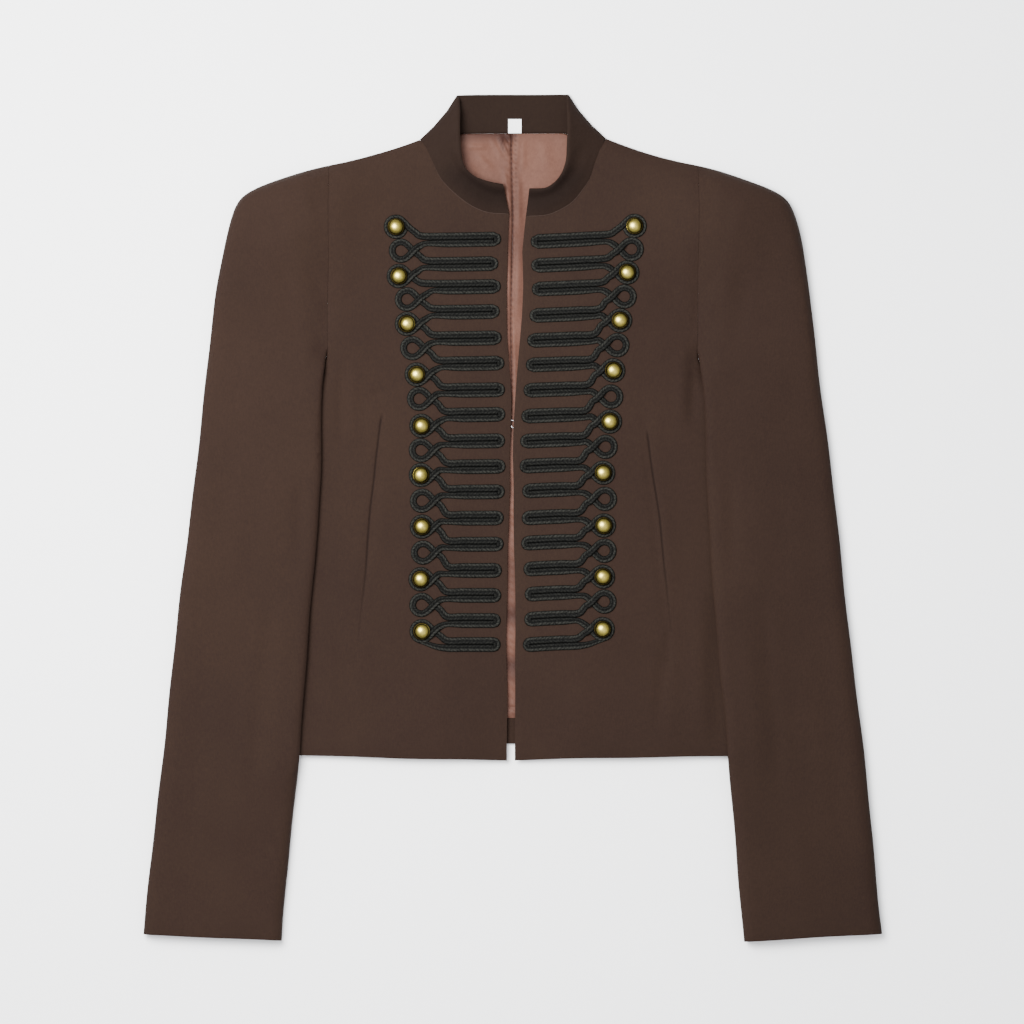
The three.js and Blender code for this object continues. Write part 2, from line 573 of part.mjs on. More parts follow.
// A blank woven label, folded and sewn to the collar's inner face.
function neckLabel() {
  const label = { left: -4, right: 7.2, top: 339.1, bottom: BACK_NECK_Y + 0.2, thick: 0.5 };
  return flatPiece([
    [label.left, label.bottom], [label.right, label.bottom], [label.right, label.top],
    [label.left, label.top],
  ], label.thick, COLLAR_CLOTH + SEAM_GAP);
}

// Route of the braid on one side: ring, bar, hairpin, bar, and on round the next ring.
const CROSSING = { out: 10.2, plateau: 2.7 };
const JOIN = { x: 22, midX: 16, midY: 4.2 };
const RING_TURNS = [225, 270, 315, 360, 405, 450, 495]; // degrees, seen from outside
// The cord's end runs out close under the last ring
const CORD_TAIL = [
  { inward: 12, below: 14.4, width: 4.4 },
  { inward: 5, below: 12.4, width: 3 },
  { inward: -1, below: 11.6, width: 1.8 },
];

function braidRoute(bars, side) {
  const tilt = BAR_TILT[sideName(side)];
  const points = [];
  const add = (x, y, width, lift) => points.push({ x, y, width, lift });
  const barY = (bar, x, offset) => bar.y + offset + tilt * (x - mix(bar.frontX, bar.ringX, 0.4));
  const crossing = (ring, up, over) => {
    const step = CROSSING.plateau * Math.SQRT1_2;
    if (!over) {
      add(ring.ringX - CROSSING.out, ring.ringY, RING_CORD_WIDTH, 0);
      return;
    }
    [-1, 1].forEach((way) => add(
      ring.ringX - CROSSING.out + way * up * step,
      ring.ringY - way * step,
      RING_CORD_WIDTH,
      CORD_LIFT,
    ));
  };
  bars.forEach((bar, k) => {
    const ring = bar;
    if (k > 0) {
      const before = bars[k - 1];
      add(ring.ringX - JOIN.x, barY(before, ring.ringX - JOIN.x, -CORD_HALF_PITCH), 5, 0);
      add(ring.ringX - JOIN.midX, ring.ringY + JOIN.midY, RING_CORD_WIDTH, 0);
      crossing(ring, 1, side < 0);
    }
    RING_TURNS.forEach((degrees, i) => {
      const angle = THREE.MathUtils.degToRad(k === 0 && i === 0 ? 214 : degrees);
      const radius = k === 0 && i === 0 ? RING_RADIUS + 0.6 : RING_RADIUS;
      const x = ring.ringX + radius * Math.cos(angle);
      add(x, ring.ringY + radius * Math.sin(angle), RING_CORD_WIDTH, 0);
    });
    crossing(ring, -1, side > 0 && k > 0);
    add(ring.ringX - JOIN.midX, ring.ringY - JOIN.midY, RING_CORD_WIDTH, 0);
    const joinX = ring.ringX - JOIN.x;
    const endX = bar.frontX + CORD_HALF_PITCH + CORD_WIDTH / 2;
    const midX = mix(joinX, endX, 0.5);
    [joinX, midX, endX].forEach((x) => add(x, barY(bar, x, CORD_HALF_PITCH), CORD_WIDTH, 0));
    [135, 180, 225].forEach((degrees) => {
      const angle = THREE.MathUtils.degToRad(degrees);
      const x = endX + CORD_HALF_PITCH * Math.cos(angle);
      add(x, barY(bar, x, CORD_HALF_PITCH * Math.sin(angle)), CORD_WIDTH, 0);
    });
    [endX, midX].forEach((x) => add(x, barY(bar, x, -CORD_HALF_PITCH), CORD_WIDTH, 0));
  });
  const last = bars[bars.length - 1];
  add(last.ringX - JOIN.x, barY(last, last.ringX - JOIN.x, -CORD_HALF_PITCH), CORD_WIDTH, 0);
  CORD_TAIL.forEach(({ inward, below, width }) => {
    add(last.ringX - inward, last.ringY - below, width, 0);
  });
  return points;
}

// The braid's solid: a low four-sided section carried along its route over the front.
function braid(bars, side) {
  const route = braidRoute(bars, side);
  const last = route.length - 1;
  const corners = [];
  route.forEach(({ x, y, width, lift }, k) => {
    const [from, to] = [route[Math.max(k - 1, 0)], route[Math.min(k + 1, last)]];
    const across = new THREE.Vector2(from.y - to.y, to.x - from.x).normalize();
    [[0.5, 0], [0.34, CORD_HEIGHT], [-0.34, CORD_HEIGHT], [-0.5, 0]].forEach(([share, up]) => {
      const cx = x + across.x * share * width;
      const cy = y + across.y * share * width;
      const z = frontSurface(x, y) + TRIM_GAP + lift + up;
      corners.push(new THREE.Vector3(side * cx, cy, z));
    });
  });
  const faces = [];
  const quad = (a, b, c, d) => faces.push([a, b, c], [a, c, d]);
  for (let k = 0; k < last; k += 1) {
    for (let i = 0; i < 4; i += 1) {
      const next = (i + 1) % 4;
      quad(4 * k + i, 4 * k + next, 4 * k + 4 + next, 4 * k + 4 + i);
    }
  }
  quad(3, 2, 1, 0);
  quad(4 * last, 4 * last + 1, 4 * last + 2, 4 * last + 3);
  return closedGeometry(corners, faces);
}

// A dome button on a shank that stands through its ring.
const BUTTON_PROFILE = [
  [0, 0], [2, 0], [2, 3.1], [BUTTON_RADIUS - 0.5, 3.8], [BUTTON_RADIUS, 4.3],
  [BUTTON_RADIUS * 0.82, 6.4], [BUTTON_RADIUS * 0.45, 7.7], [0, BUTTON_TOP],
];

function domeButton(x, y, side) {
  const profile = BUTTON_PROFILE.map(([r, z]) => new THREE.Vector2(r, z));
  const geometry = new THREE.LatheGeometry(profile, 10);
  geometry.rotateX(Math.PI / 2);
  geometry.translate(side * x, y, frontSurface(x, y) + TRIM_GAP);
  geometry.deleteAttribute('normal');
  geometry.deleteAttribute('uv');
  return mergeVertices(geometry, 1e-3);
}

// Bent wire of the hook or the eye, sewn under the front edges.
function wire(points) {
  const route = new THREE.CatmullRomCurve3(points.map((p) => new THREE.Vector3(...p)));
  const section = new THREE.Shape();
  section.absarc(0, 0, WIRE / 2, 0, 2 * Math.PI);
  const geometry = new THREE.ExtrudeGeometry(section, {
    steps: 16, curveSegments: 3, bevelEnabled: false, extrudePath: route,
  });
  geometry.deleteAttribute('normal');
  geometry.deleteAttribute('uv');
  return mergeVertices(geometry, 1e-3);
}

addMesh('back_panel', backPanel(), cloth);
[-1, 1].forEach((side) => {
  const name = sideName(side);
  addMesh(`front_${name}`, frontPanel(side), cloth);
  const sleeve = sleevePieces(side);
  addMesh(`sleeve_${name}_upper`, sleeve.upper, cloth);
  addMesh(`sleeve_${name}_under`, sleeve.under, cloth);
  const bars = side < 0 ? BRAID_RIGHT : BRAID_LEFT;
  addMesh(`braid_${name}`, braid(bars, side), cord);
  bars.filter((_, k) => k % 2 === 0).forEach(({ ringX, ringY }, k) => {
    addMesh(`button_${name}_${k + 1}`, domeButton(ringX, ringY, side), brass);
  });
});
addMesh('collar_stand', collarStand(), cloth);
addMesh('back_lining', backLining(), satin);
addMesh('back_hem_facing', backHemFacing(), cloth);
addMesh('neck_label', neckLabel(), white);

const wireZ = EDGE_HEIGHT - CLOTH - SEAM_GAP - WIRE / 2;
addMesh('closure_hook', wire([
  [-7, CLOSING_Y + 2.2, wireZ], [-2, CLOSING_Y + 1.2, wireZ], [1.2, CLOSING_Y + 0.4, wireZ],
  [2.2, CLOSING_Y - 1.4, wireZ], [0.6, CLOSING_Y - 2.6, wireZ],
]), steel);
addMesh('closure_eye', wire([
  [8, CLOSING_Y - 5.4, wireZ], [4, CLOSING_Y - 5.8, wireZ], [-0.6, CLOSING_Y - 5.2, wireZ],
  [-1.4, CLOSING_Y - 4.4, wireZ], [-0.6, CLOSING_Y - 4.0, wireZ - 0.02],
]), steel);

export default jacket;
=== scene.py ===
import math

import bmesh
import bpy
import numpy as np
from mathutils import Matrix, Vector
from mathutils.bvhtree import BVHTree


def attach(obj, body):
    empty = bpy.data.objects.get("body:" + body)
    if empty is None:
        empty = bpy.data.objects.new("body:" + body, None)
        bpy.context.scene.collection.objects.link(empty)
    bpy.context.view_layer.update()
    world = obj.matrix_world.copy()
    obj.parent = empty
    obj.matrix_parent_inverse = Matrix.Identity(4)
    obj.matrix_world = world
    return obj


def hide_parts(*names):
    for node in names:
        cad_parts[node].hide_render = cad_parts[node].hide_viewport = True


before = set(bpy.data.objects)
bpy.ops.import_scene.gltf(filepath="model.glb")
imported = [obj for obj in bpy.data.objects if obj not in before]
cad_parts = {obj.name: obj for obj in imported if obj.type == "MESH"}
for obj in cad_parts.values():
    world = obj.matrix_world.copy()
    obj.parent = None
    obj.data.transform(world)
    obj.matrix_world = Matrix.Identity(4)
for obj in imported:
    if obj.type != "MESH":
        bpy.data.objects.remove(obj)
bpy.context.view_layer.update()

mm = 0.001
wearersSides = {"Right": -1, "Left": 1}  # the wearer's right lies at -X

view = {  # metres; the frame is as wide as the photograph's
    "frameWidth": 0.8704, "distance": 6.0, "centre": (-0.00085, 0.005), "height": 0.006,
}


def makeCamera():
    camera = bpy.data.objects.new("camera", bpy.data.cameras.new("camera"))
    bpy.context.scene.collection.objects.link(camera)
    camera.location = (*view["centre"], view["height"] + view["distance"])
    camera.data.sensor_width = 36
    camera.data.lens = 36 * view["distance"] / view["frameWidth"]
    bpy.context.scene.camera = camera


studio = {
    "sky": (0.95, 0.96, 1.0), "skyStrength": 1.45,
    "floorColour": (0.96, 0.96, 0.955),
    "lamps": [  # name, place, size, power
        ("keyLamp", (-0.62, 0.42, 1.35), 1.0, 92),
        ("fillLamp", (1.3, -1.2, 2.2), 1.8, 6),
    ],
}


def makeStudio():
    world = bpy.data.worlds.new("studio")
    world.use_nodes = True
    sky = world.node_tree.nodes["Background"]
    sky.inputs["Color"].default_value = (*studio["sky"], 1)
    sky.inputs["Strength"].default_value = studio["skyStrength"]
    bpy.context.scene.world = world
    for name, place, size, power in studio["lamps"]:
        lamp = bpy.data.lights.new(name, "AREA")
        lamp.size = size
        lamp.energy = power
        item = bpy.data.objects.new(name, lamp)
        bpy.context.scene.collection.objects.link(item)
        item.location = place
        item.rotation_euler = Vector(place).to_track_quat("Z", "Y").to_euler()
    bm = bmesh.new()
    bmesh.ops.create_grid(bm, x_segments=2, y_segments=2, size=4)
    bmesh.ops.translate(bm, verts=bm.verts[:], vec=(0, 0, -0.0003))
    floor = addObject("floor", bm)
    paper = bpy.data.materials.new("palePaper")
    paper.use_nodes = True
    shader = paper.node_tree.nodes["Principled BSDF"]
    shader.inputs["Base Color"].default_value = (*studio["floorColour"], 1)
    shader.inputs["Roughness"].default_value = 0.9
    floor.data.materials.append(paper)


def addObject(name, bm, smooth=True):
    mesh = bpy.data.meshes.new(name)
    bm.to_mesh(mesh)
    bm.free()
    item = bpy.data.objects.new(name, mesh)
    bpy.context.scene.collection.objects.link(item)
    if smooth:
        mesh.shade_smooth()
    return item


def getPoints(item):
    flat = np.empty(len(item.data.vertices) * 3, np.float32)
    item.data.vertices.foreach_get("co", flat)
    return flat.reshape(-1, 3).astype(float) / mm


def setPoints(item, points):
    item.data.vertices.foreach_set("co", (points * mm).astype(np.float32).ravel())
    item.data.update()


def setShare(item, name, values):
    share = item.data.attributes.new(name, "FLOAT", "POINT")
    share.data.foreach_set("value", values.astype(np.float32))


def easeIn(value, low, high):
    share = np.clip((value - low) / (high - low), 0, 1)
    return share * share * (3 - 2 * share)


def finish(piece, nodes, materials):
    for material in materials:
        piece.data.materials.append(material)
    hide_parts(*nodes)
    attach(piece, "root")


def startGroup(name, inputs, outputs):
    group = bpy.data.node_groups.new(name, "ShaderNodeTree")
    for label, kind, value in inputs:
        socket = group.interface.new_socket(label, in_out="INPUT", socket_type=kind)
        if value is not None:
            socket.default_value = value
    for label in outputs:
        group.interface.new_socket(label, in_out="OUTPUT", socket_type="NodeSocketFloat")
    return group, group.nodes.new("NodeGroupInput"), group.nodes.new("NodeGroupOutput")


def calc(tree, operation, first, second=None, third=None):
    node = tree.nodes.new("ShaderNodeMath")
    node.operation = operation
    for socket, value in zip(node.inputs, (first, second, third)):
        if isinstance(value, bpy.types.NodeSocket):
            tree.links.new(value, socket)
        elif value is not None:
            socket.default_value = value
    return node.outputs[0]


def makeWeaveGroup():
    group, start, end = startGroup(
        "weave",
        [("Vector", "NodeSocketVector", None), ("Threads", "NodeSocketFloat", 2200.0)],
        ["Height", "Slub"],
    )
    scaled = group.nodes.new("ShaderNodeVectorMath")
    scaled.operation = "SCALE"
    group.links.new(start.outputs["Vector"], scaled.inputs[0])
    group.links.new(start.outputs["Threads"], scaled.inputs["Scale"])
    parts = group.nodes.new("ShaderNodeSeparateXYZ")
    group.links.new(scaled.outputs[0], parts.inputs[0])
    warpWave = calc(group, "SINE", calc(group, "MULTIPLY", parts.outputs["X"], math.pi))
    weftWave = calc(group, "SINE", calc(group, "MULTIPLY", parts.outputs["Y"], math.pi))
    over = calc(group, "GREATER_THAN", calc(group, "MULTIPLY", warpWave, weftWave), 0.0)
    warp = calc(group, "ABSOLUTE", warpWave)
    weft = calc(group, "ABSOLUTE", weftWave)
    height = calc(group, "ADD", calc(group, "MULTIPLY", over, warp),
                  calc(group, "MULTIPLY", calc(group, "SUBTRACT", 1.0, over), weft))
    group.links.new(height, end.inputs["Height"])
    stretch = group.nodes.new("ShaderNodeMapping")
    stretch.inputs["Scale"].default_value = (0.5, 0.12, 0.3)
    group.links.new(scaled.outputs[0], stretch.inputs["Vector"])
    slub = group.nodes.new("ShaderNodeTexNoise")
    slub.inputs["Scale"].default_value = 1.0
    slub.inputs["Detail"].default_value = 2.0
    group.links.new(stretch.outputs[0], slub.inputs["Vector"])
    group.links.new(slub.outputs["Fac"], end.inputs["Slub"])
    return group


def makeMottleGroup():
    group, start, end = startGroup(
        "mottle",
        [("Vector", "NodeSocketVector", None), ("Fine", "NodeSocketFloat", 420.0),
         ("Broad", "NodeSocketFloat", 14.0)],
        ["Tone"],
    )
    tones = []
    for label, detail in (("Fine", 4.0), ("Broad", 3.0)):
        noise = group.nodes.new("ShaderNodeTexNoise")
        noise.inputs["Detail"].default_value = detail
        noise.inputs["Roughness"].default_value = 0.62
        group.links.new(start.outputs["Vector"], noise.inputs["Vector"])
        group.links.new(start.outputs[label], noise.inputs["Scale"])
        tones.append(noise.outputs["Fac"])
    tone = calc(group, "ADD", calc(group, "MULTIPLY", tones[0], 0.55),
                calc(group, "MULTIPLY", tones[1], 0.45))
    group.links.new(tone, end.inputs["Tone"])
    return group


weaveGroup = makeWeaveGroup()
mottleGroup = makeMottleGroup()


def srgb(colour):
    return [(c / 255 / 12.92 if c <= 10 else ((c / 255 + 0.055) / 1.055) ** 2.4) for c in colour]


def fabric(name, look):
    material = bpy.data.materials.new(name)
    material.use_nodes = True
    tree = material.node_tree
    shader = tree.nodes["Principled BSDF"]
    shader.inputs["Roughness"].default_value = look["roughness"]
    shader.inputs["Sheen Weight"].default_value = look["sheen"]
    shader.inputs["Sheen Roughness"].default_value = 0.45
    shader.inputs["Specular IOR Level"].default_value = look["specular"]
    place = tree.nodes.new("ShaderNodeTexCoord")
    turn = tree.nodes.new("ShaderNodeMapping")
    turn.inputs["Rotation"].default_value = (0, 0, math.radians(look.get("grainTurn", 0)))
    tree.links.new(place.outputs["Object"], turn.inputs["Vector"])
    weave = tree.nodes.new("ShaderNodeGroup")
    weave.node_tree = weaveGroup
    weave.inputs["Threads"].default_value = look["threads"]
    tree.links.new(turn.outputs[0], weave.inputs["Vector"])
    mottle = tree.nodes.new("ShaderNodeGroup")
    mottle.node_tree = mottleGroup
    mottle.inputs["Fine"].default_value = look["fineMottle"]
    mottle.inputs["Broad"].default_value = look["broadMottle"]
    tree.links.new(turn.outputs[0], mottle.inputs["Vector"])
    tone = calc(tree, "ADD", calc(tree, "MULTIPLY", mottle.outputs["Tone"], 0.7),
                calc(tree, "MULTIPLY", weave.outputs["Slub"], 0.3))
    ramp = tree.nodes.new("ShaderNodeValToRGB")
    ramp.color_ramp.elements[0].position = 0.36
    ramp.color_ramp.elements[1].position = 0.64
    ramp.color_ramp.elements[0].color = (*srgb(look["dark"]), 1)
    ramp.color_ramp.elements[1].color = (*srgb(look["light"]), 1)
    tree.links.new(tone, ramp.inputs["Fac"])
    colour = ramp.outputs["Color"]
    # painted shade: the colour is mixed toward a dark colour by a per-point share
    if "paintedShade" in look:
        paintedShade = tree.nodes.new("ShaderNodeAttribute")
        paintedShade.attribute_name = "paintedShade"
        shadeMix = tree.nodes.new("ShaderNodeMix")
        shadeMix.data_type = "RGBA"
        tree.links.new(calc(tree, "MULTIPLY", paintedShade.outputs["Fac"], look["paintedShade"]),
                       shadeMix.inputs["Factor"])
        colours = [socket for socket in shadeMix.inputs if socket.type == "RGBA"]
        tree.links.new(colour, colours[0])
        colours[1].default_value = (*srgb(look["paintedShadeColour"]), 1)
        colour = [socket for socket in shadeMix.outputs if socket.type == "RGBA"][0]
    tree.links.new(colour, shader.inputs["Base Color"])
    relief = calc(tree, "ADD", calc(tree, "MULTIPLY", weave.outputs["Height"], look["weaveDepth"]),
                  calc(tree, "MULTIPLY", mottle.outputs["Tone"], look["napDepth"]))
    bump = tree.nodes.new("ShaderNodeBump")
    bump.inputs["Strength"].default_value = 1.0
    bump.inputs["Distance"].default_value = mm
    tree.links.new(relief, bump.inputs["Height"])
    tree.links.new(bump.outputs["Normal"], shader.inputs["Normal"])
    return material


# the last two values set the strength and colour of painted shade
suitingLook = {
    "dark": (29, 19, 15), "light": (36, 25, 19), "roughness": 0.8, "sheen": 0.0,
    "specular": 0.06, "threads": 2100, "fineMottle": 700, "broadMottle": 9,
    "weaveDepth": 0.03, "napDepth": 0.04, "paintedShade": 0.6, "paintedShadeColour": (4, 1, 1),
}
suiting = fabric("brownSuiting", suitingLook)
# the collar's copy of the suiting is darker: painted shade
shadedCollarSuiting = fabric("brownSuitingCollarShaded", {**suitingLook, "dark": (23, 14, 10),
                                              "light": (28, 19, 14)})
sleeveSuiting = {
    side: fabric(f"brownSuitingSleeve{side}", {**suitingLook, "grainTurn": 8.5 * sign})
    for side, sign in wearersSides.items()
}
# the last two values set the strength and colour of painted shade
liningLook = {
    "dark": (73, 48, 39), "light": (85, 58, 48), "roughness": 0.5, "sheen": 0.0,
    "specular": 0.07, "threads": 3600, "fineMottle": 300, "broadMottle": 30,
    "weaveDepth": 0.012, "napDepth": 0.02, "paintedShade": 0.9, "paintedShadeColour": (32, 14, 10),
}
# a lighter copy of the suiting for the collar seam roll: painted highlight
seamHighlight = fabric("seamHighlight", {**suitingLook, "dark": (38, 28, 24), "light": (46, 36, 31)})
satinLining = fabric("roseSatin", liningLook)
labelLook = {
    "dark": (236, 237, 236), "light": (252, 253, 252), "roughness": 0.7, "sheen": 0.0,
    "specular": 0.3, "threads": 2600, "fineMottle": 600, "broadMottle": 60,
    "weaveDepth": 0.05, "napDepth": 0.02,
}
labelTape = fabric("whiteTape", labelLook)


def makeBraidMaterial(length):
    material = bpy.data.materials.new("blackBraid")
    material.use_nodes = True
    tree = material.node_tree
    shader = tree.nodes["Principled BSDF"]
    shader.inputs["Roughness"].default_value = 0.62
    shader.inputs["Specular IOR Level"].default_value = 0.03
    place = tree.nodes.new("ShaderNodeUVMap")
    parts = tree.nodes.new("ShaderNodeSeparateXYZ")
    tree.links.new(place.outputs[0], parts.inputs[0])
    along = calc(tree, "MULTIPLY", parts.outputs["X"], length / braidLook["strandPitch"])
    across = tree.nodes.new("ShaderNodeAttribute")
    across.attribute_name = "across"
    fromGroove = calc(tree, "ABSOLUTE", across.outputs["Fac"])
    uneven = tree.nodes.new("ShaderNodeTexNoise")
    uneven.inputs["Scale"].default_value = braidLook["grain"]
    uneven.inputs["Detail"].default_value = 3.0
    solidPlace = tree.nodes.new("ShaderNodeTexCoord")
    tree.links.new(solidPlace.outputs["Object"], uneven.inputs["Vector"])
    phase = calc(tree, "ADD", along, calc(tree, "MULTIPLY", fromGroove, braidLook["slant"]))
    phase = calc(tree, "ADD", phase,
                 calc(tree, "MULTIPLY", uneven.outputs["Fac"], braidLook["jitter"]))
    strands = calc(tree, "ABSOLUTE", calc(tree, "SINE", calc(tree, "MULTIPLY", phase, math.pi)))
    flatStrands = calc(tree, "MULTIPLY_ADD", strands, *braidLook["strandTone"])
    outer = calc(tree, "MULTIPLY_ADD", calc(tree, "GREATER_THAN", across.outputs["Fac"], 0.0),
                 *braidLook["outerTone"])
    # painted shade: dark in the groove between the two cords and at their outer edges, light along
    # each cord's crown
    paintedCordShade = calc(tree, "MULTIPLY", outer,
                 calc(tree, "SINE", calc(tree, "MULTIPLY", fromGroove, math.pi)))
    tone = calc(tree, "MULTIPLY", calc(tree, "MULTIPLY", flatStrands, paintedCordShade),
                calc(tree, "MULTIPLY_ADD", uneven.outputs["Fac"], *braidLook["unevenTone"]))
    ramp = tree.nodes.new("ShaderNodeValToRGB")
    ramp.color_ramp.elements[0].color = (*srgb(braidLook["dark"]), 1)
    ramp.color_ramp.elements[1].color = (*srgb(braidLook["light"]), 1)
    tree.links.new(tone, ramp.inputs["Fac"])
    tree.links.new(ramp.outputs["Color"], shader.inputs["Base Color"])
    bump = tree.nodes.new("ShaderNodeBump")
    bump.inputs["Strength"].default_value = 1.0
    bump.inputs["Distance"].default_value = 0.2 * mm
    tree.links.new(strands, bump.inputs["Height"])
    tree.links.new(bump.outputs["Normal"], shader.inputs["Normal"])
    return material


def metal(name, look):
    material = bpy.data.materials.new(name)
    material.use_nodes = True
    tree = material.node_tree
    shader = tree.nodes["Principled BSDF"]
    shader.inputs["Metallic"].default_value = 1.0
    place = tree.nodes.new("ShaderNodeTexCoord")
    mottle = tree.nodes.new("ShaderNodeGroup")
    mottle.node_tree = mottleGroup
    mottle.inputs["Fine"].default_value = look["grain"]
    mottle.inputs["Broad"].default_value = look["patches"]
    tree.links.new(place.outputs["Object"], mottle.inputs["Vector"])
    ramp = tree.nodes.new("ShaderNodeValToRGB")
    ramp.color_ramp.elements[0].position = 0.38
    ramp.color_ramp.elements[1].position = 0.62
    ramp.color_ramp.elements[0].color = (*srgb(look["dark"]), 1)
    ramp.color_ramp.elements[1].color = (*srgb(look["light"]), 1)
    tree.links.new(mottle.outputs["Tone"], ramp.inputs["Fac"])
    # painted shade: the brass colour is darkened by a per-point share, which the dome buttons set
    # from their middle out to their edge
    darkening = tree.nodes.new("ShaderNodeAttribute")
    darkening.attribute_name = "paintedDomeShade"
    shadedBrass = tree.nodes.new("ShaderNodeVectorMath")
    shadedBrass.operation = "SCALE"
    tree.links.new(ramp.outputs["Color"], shadedBrass.inputs[0])
    tree.links.new(calc(tree, "SUBTRACT", 1.0, darkening.outputs["Fac"]), shadedBrass.inputs["Scale"])
    tree.links.new(shadedBrass.outputs[0], shader.inputs["Base Color"])
    rough = calc(tree, "ADD", calc(tree, "MULTIPLY", mottle.outputs["Tone"], look["roughSpan"]),
                 look["roughness"] - 0.5 * look["roughSpan"])
    tree.links.new(rough, shader.inputs["Roughness"])
    return material


domeBrass = metal("domeBrass", {
    "dark": (168, 151, 72), "light": (206, 190, 98), "grain": 900, "patches": 120,
    "roughness": 0.34, "roughSpan": 0.14})
rimBrass = metal("rimBrass", {
    "dark": (48, 40, 16), "light": (92, 78, 36), "grain": 900, "patches": 160,
    "roughness": 0.45, "roughSpan": 0.2})
nickelWire = metal("nickelWire", {
    "dark": (170, 170, 172), "light": (205, 205, 206), "grain": 900, "patches": 100,
    "roughness": 0.25, "roughSpan": 0.1})
print("finishes made")

# all places and sizes below are in millimetres, y running up to the collar
dartPress = {"halfWidth": 0.75, "depth": 0.5}
bodyDarts = {
    "Right": [(-111.4, 88), (-117, 50), (-121.5, 8), (-125.5, -50), (-131, -105)],
    "Left": [(113.8, 73), (118, 40), (124, 0), (131, -58), (134.5, -96)],
}
# soft troughs (negative) and ridges: from x, y to x, y, half width, height
bodyFolds = [
    (-104, 40, -116, -50, 7, 0.35), (124, 30, 138, -60, 7, 0.35),
    (-145, 134, -146, 62, 5.5, -1.5), (-137, 128, -139, 60, 6, 0.7),
    (155, 150, 152, 82, 5.5, -1.4), (146, 140, 143, 78, 6, 0.7),
    (172, -66, 174, -198, 8, -1.4), (160, -60, 160, -190, 9, 0.8),
    (131, -103, 123, -172, 6, -0.9), (-115, 110, -113, 104, 7, -1.1),
    (-176, -70, -172, -196, 8, -1.0), (-160, -80, -156, -190, 9, 0.6),
    (-40, -150, -36, -200, 12, 0.5), (52, -140, 50, -200, 12, 0.5),
    (-128, 238, -96, 262, 9, 0.5), (126, 240, 98, 262, 9, 0.5),
    (-140, 190, -112, 216, 8, -0.5), (141, 186, 114, 214, 8, -0.5),
]
sleeveFolds = [
    (-181, 30, -182, -38, 6, -1.1), (-206, -66, -224, -240, 7, -0.9),
    (-192, -70, -204, -240, 8, 0.5), (-230, 60, -238, -60, 9, 0.5),
    (-250, 120, -262, 30, 7, -0.6), (-196, 214, -186, 150, 8, -0.7),
    (-262, -120, -276, -280, 8, -0.5), (-232, -250, -244, -340, 9, 0.5),
    (184, 40, 186, -50, 6, -0.8), (212, -60, 226, -240, 7, -0.8),
    (198, -90, 208, -240, 8, 0.5), (236, 70, 246, -70, 9, 0.5),
    (252, 110, 263, 20, 7, -0.6), (198, 210, 188, 148, 8, -0.7),
    (264, -110, 280, -290, 8, -0.5), (238, -240, 252, -350, 9, 0.5),
    (-176, 292, -168, 262, 5, -0.4), (176, 292, 168, 262, 5, -0.4),
]
seamLook = {"armholeX": 157.25, "armholeFoot": 141, "width": 1.6, "depth": 0.08,
            "puckerPitch": 9.0, "puckerDepth": 0.06, "puckerReach": 7,
            "close": 0.17, "closeReach": 1.5, "closeFoot": 136, "levelReach": 8}
collarSeam = {  # from the front edge up to the shoulder
    "Right": [(4.0, 258.0), (20.4, 259.2), (32.5, 263.6), (43.4, 270.6), (55.2, 281.0),
              (62.9, 290.6), (69.3, 304.8), (73.4, 314.6), (76.9, 320.2)],
    "Left": [(10.4, 256.0), (27.2, 257.1), (39.1, 261.5), (50.0, 268.5), (58.6, 278.7),
             (65.1, 288.6), (69.8, 302.2), (74.2, 313.0), (77.6, 319.8)],
}


collarClose = {"share": 0.85, "full": 0.4, "fade": 1.5, "reach": 2}


def foldHeight(x, y, folds):
    total = np.zeros_like(x)
    for fromX, fromY, toX, toY, halfWidth, height in folds:
        runX, runY = toX - fromX, toY - fromY
        share = np.clip(((x - fromX) * runX + (y - fromY) * runY) / (runX ** 2 + runY ** 2), 0, 1)
        away = np.hypot(x - fromX - share * runX, y - fromY - share * runY)
        fade = np.clip(4 * share * (1 - share) + 0.25, 0, 1)
        total += height * fade * np.exp(-((away / halfWidth) ** 2))
    return total


def seamHeight(x, y):
    beside = np.abs(x) - seamLook["armholeX"]
    there = easeIn(y, seamLook["armholeFoot"] - 2, seamLook["armholeFoot"] + 8)
    valley = -seamLook["depth"] * np.exp(-((beside / seamLook["width"]) ** 2)) * there
    pucker = np.sin(2 * math.pi * (y + 3 * np.sin(y / 17)) / seamLook["puckerPitch"])
    return valley + seamLook["puckerDepth"] * pucker * there * np.exp(
        -((beside / seamLook["puckerReach"]) ** 2))


def nearestOn(line, x, y):
    best = np.full_like(x, 1e6)
    footX, footY = np.zeros_like(x), np.zeros_like(x)
    for (ax, ay), (bx, by) in zip(line, line[1:]):
        runX, runY = bx - ax, by - ay
        share = np.clip(((x - ax) * runX + (y - ay) * runY) / (runX ** 2 + runY ** 2), 0, 1)
        hereX, hereY = ax + share * runX, ay + share * runY
        away = np.hypot(x - hereX, y - hereY)
        closer = away < best
        best = np.where(closer, away, best)
        footX, footY = np.where(closer, hereX, footX), np.where(closer, hereY, footY)
    return best, footX, footY


def closeArmhole(item):
    points = getPoints(item)
    beside = np.abs(points[:, 0]) - seamLook["armholeX"]
    pull = seamLook["close"] * np.clip(1 - beside / seamLook["closeReach"], 0, 1)
    pull *= points[:, 1] > seamLook["closeFoot"]
    points[:, 0] -= np.sign(points[:, 0]) * pull
    setPoints(item, points)


def closeCollar(item, side, sign):
    points = getPoints(item)
    away, footX, footY = nearestOn(collarSeam[side], sign * points[:, 0], points[:, 1])
    pull = np.clip(1 - (away - collarClose["full"]) / collarClose["fade"], 0, 1)
    pull *= (away < collarClose["reach"]) * collarClose["share"]
    points[:, 0] += pull * (sign * footX - points[:, 0])
    points[:, 1] += pull * (footY - points[:, 1])
    setPoints(item, points)


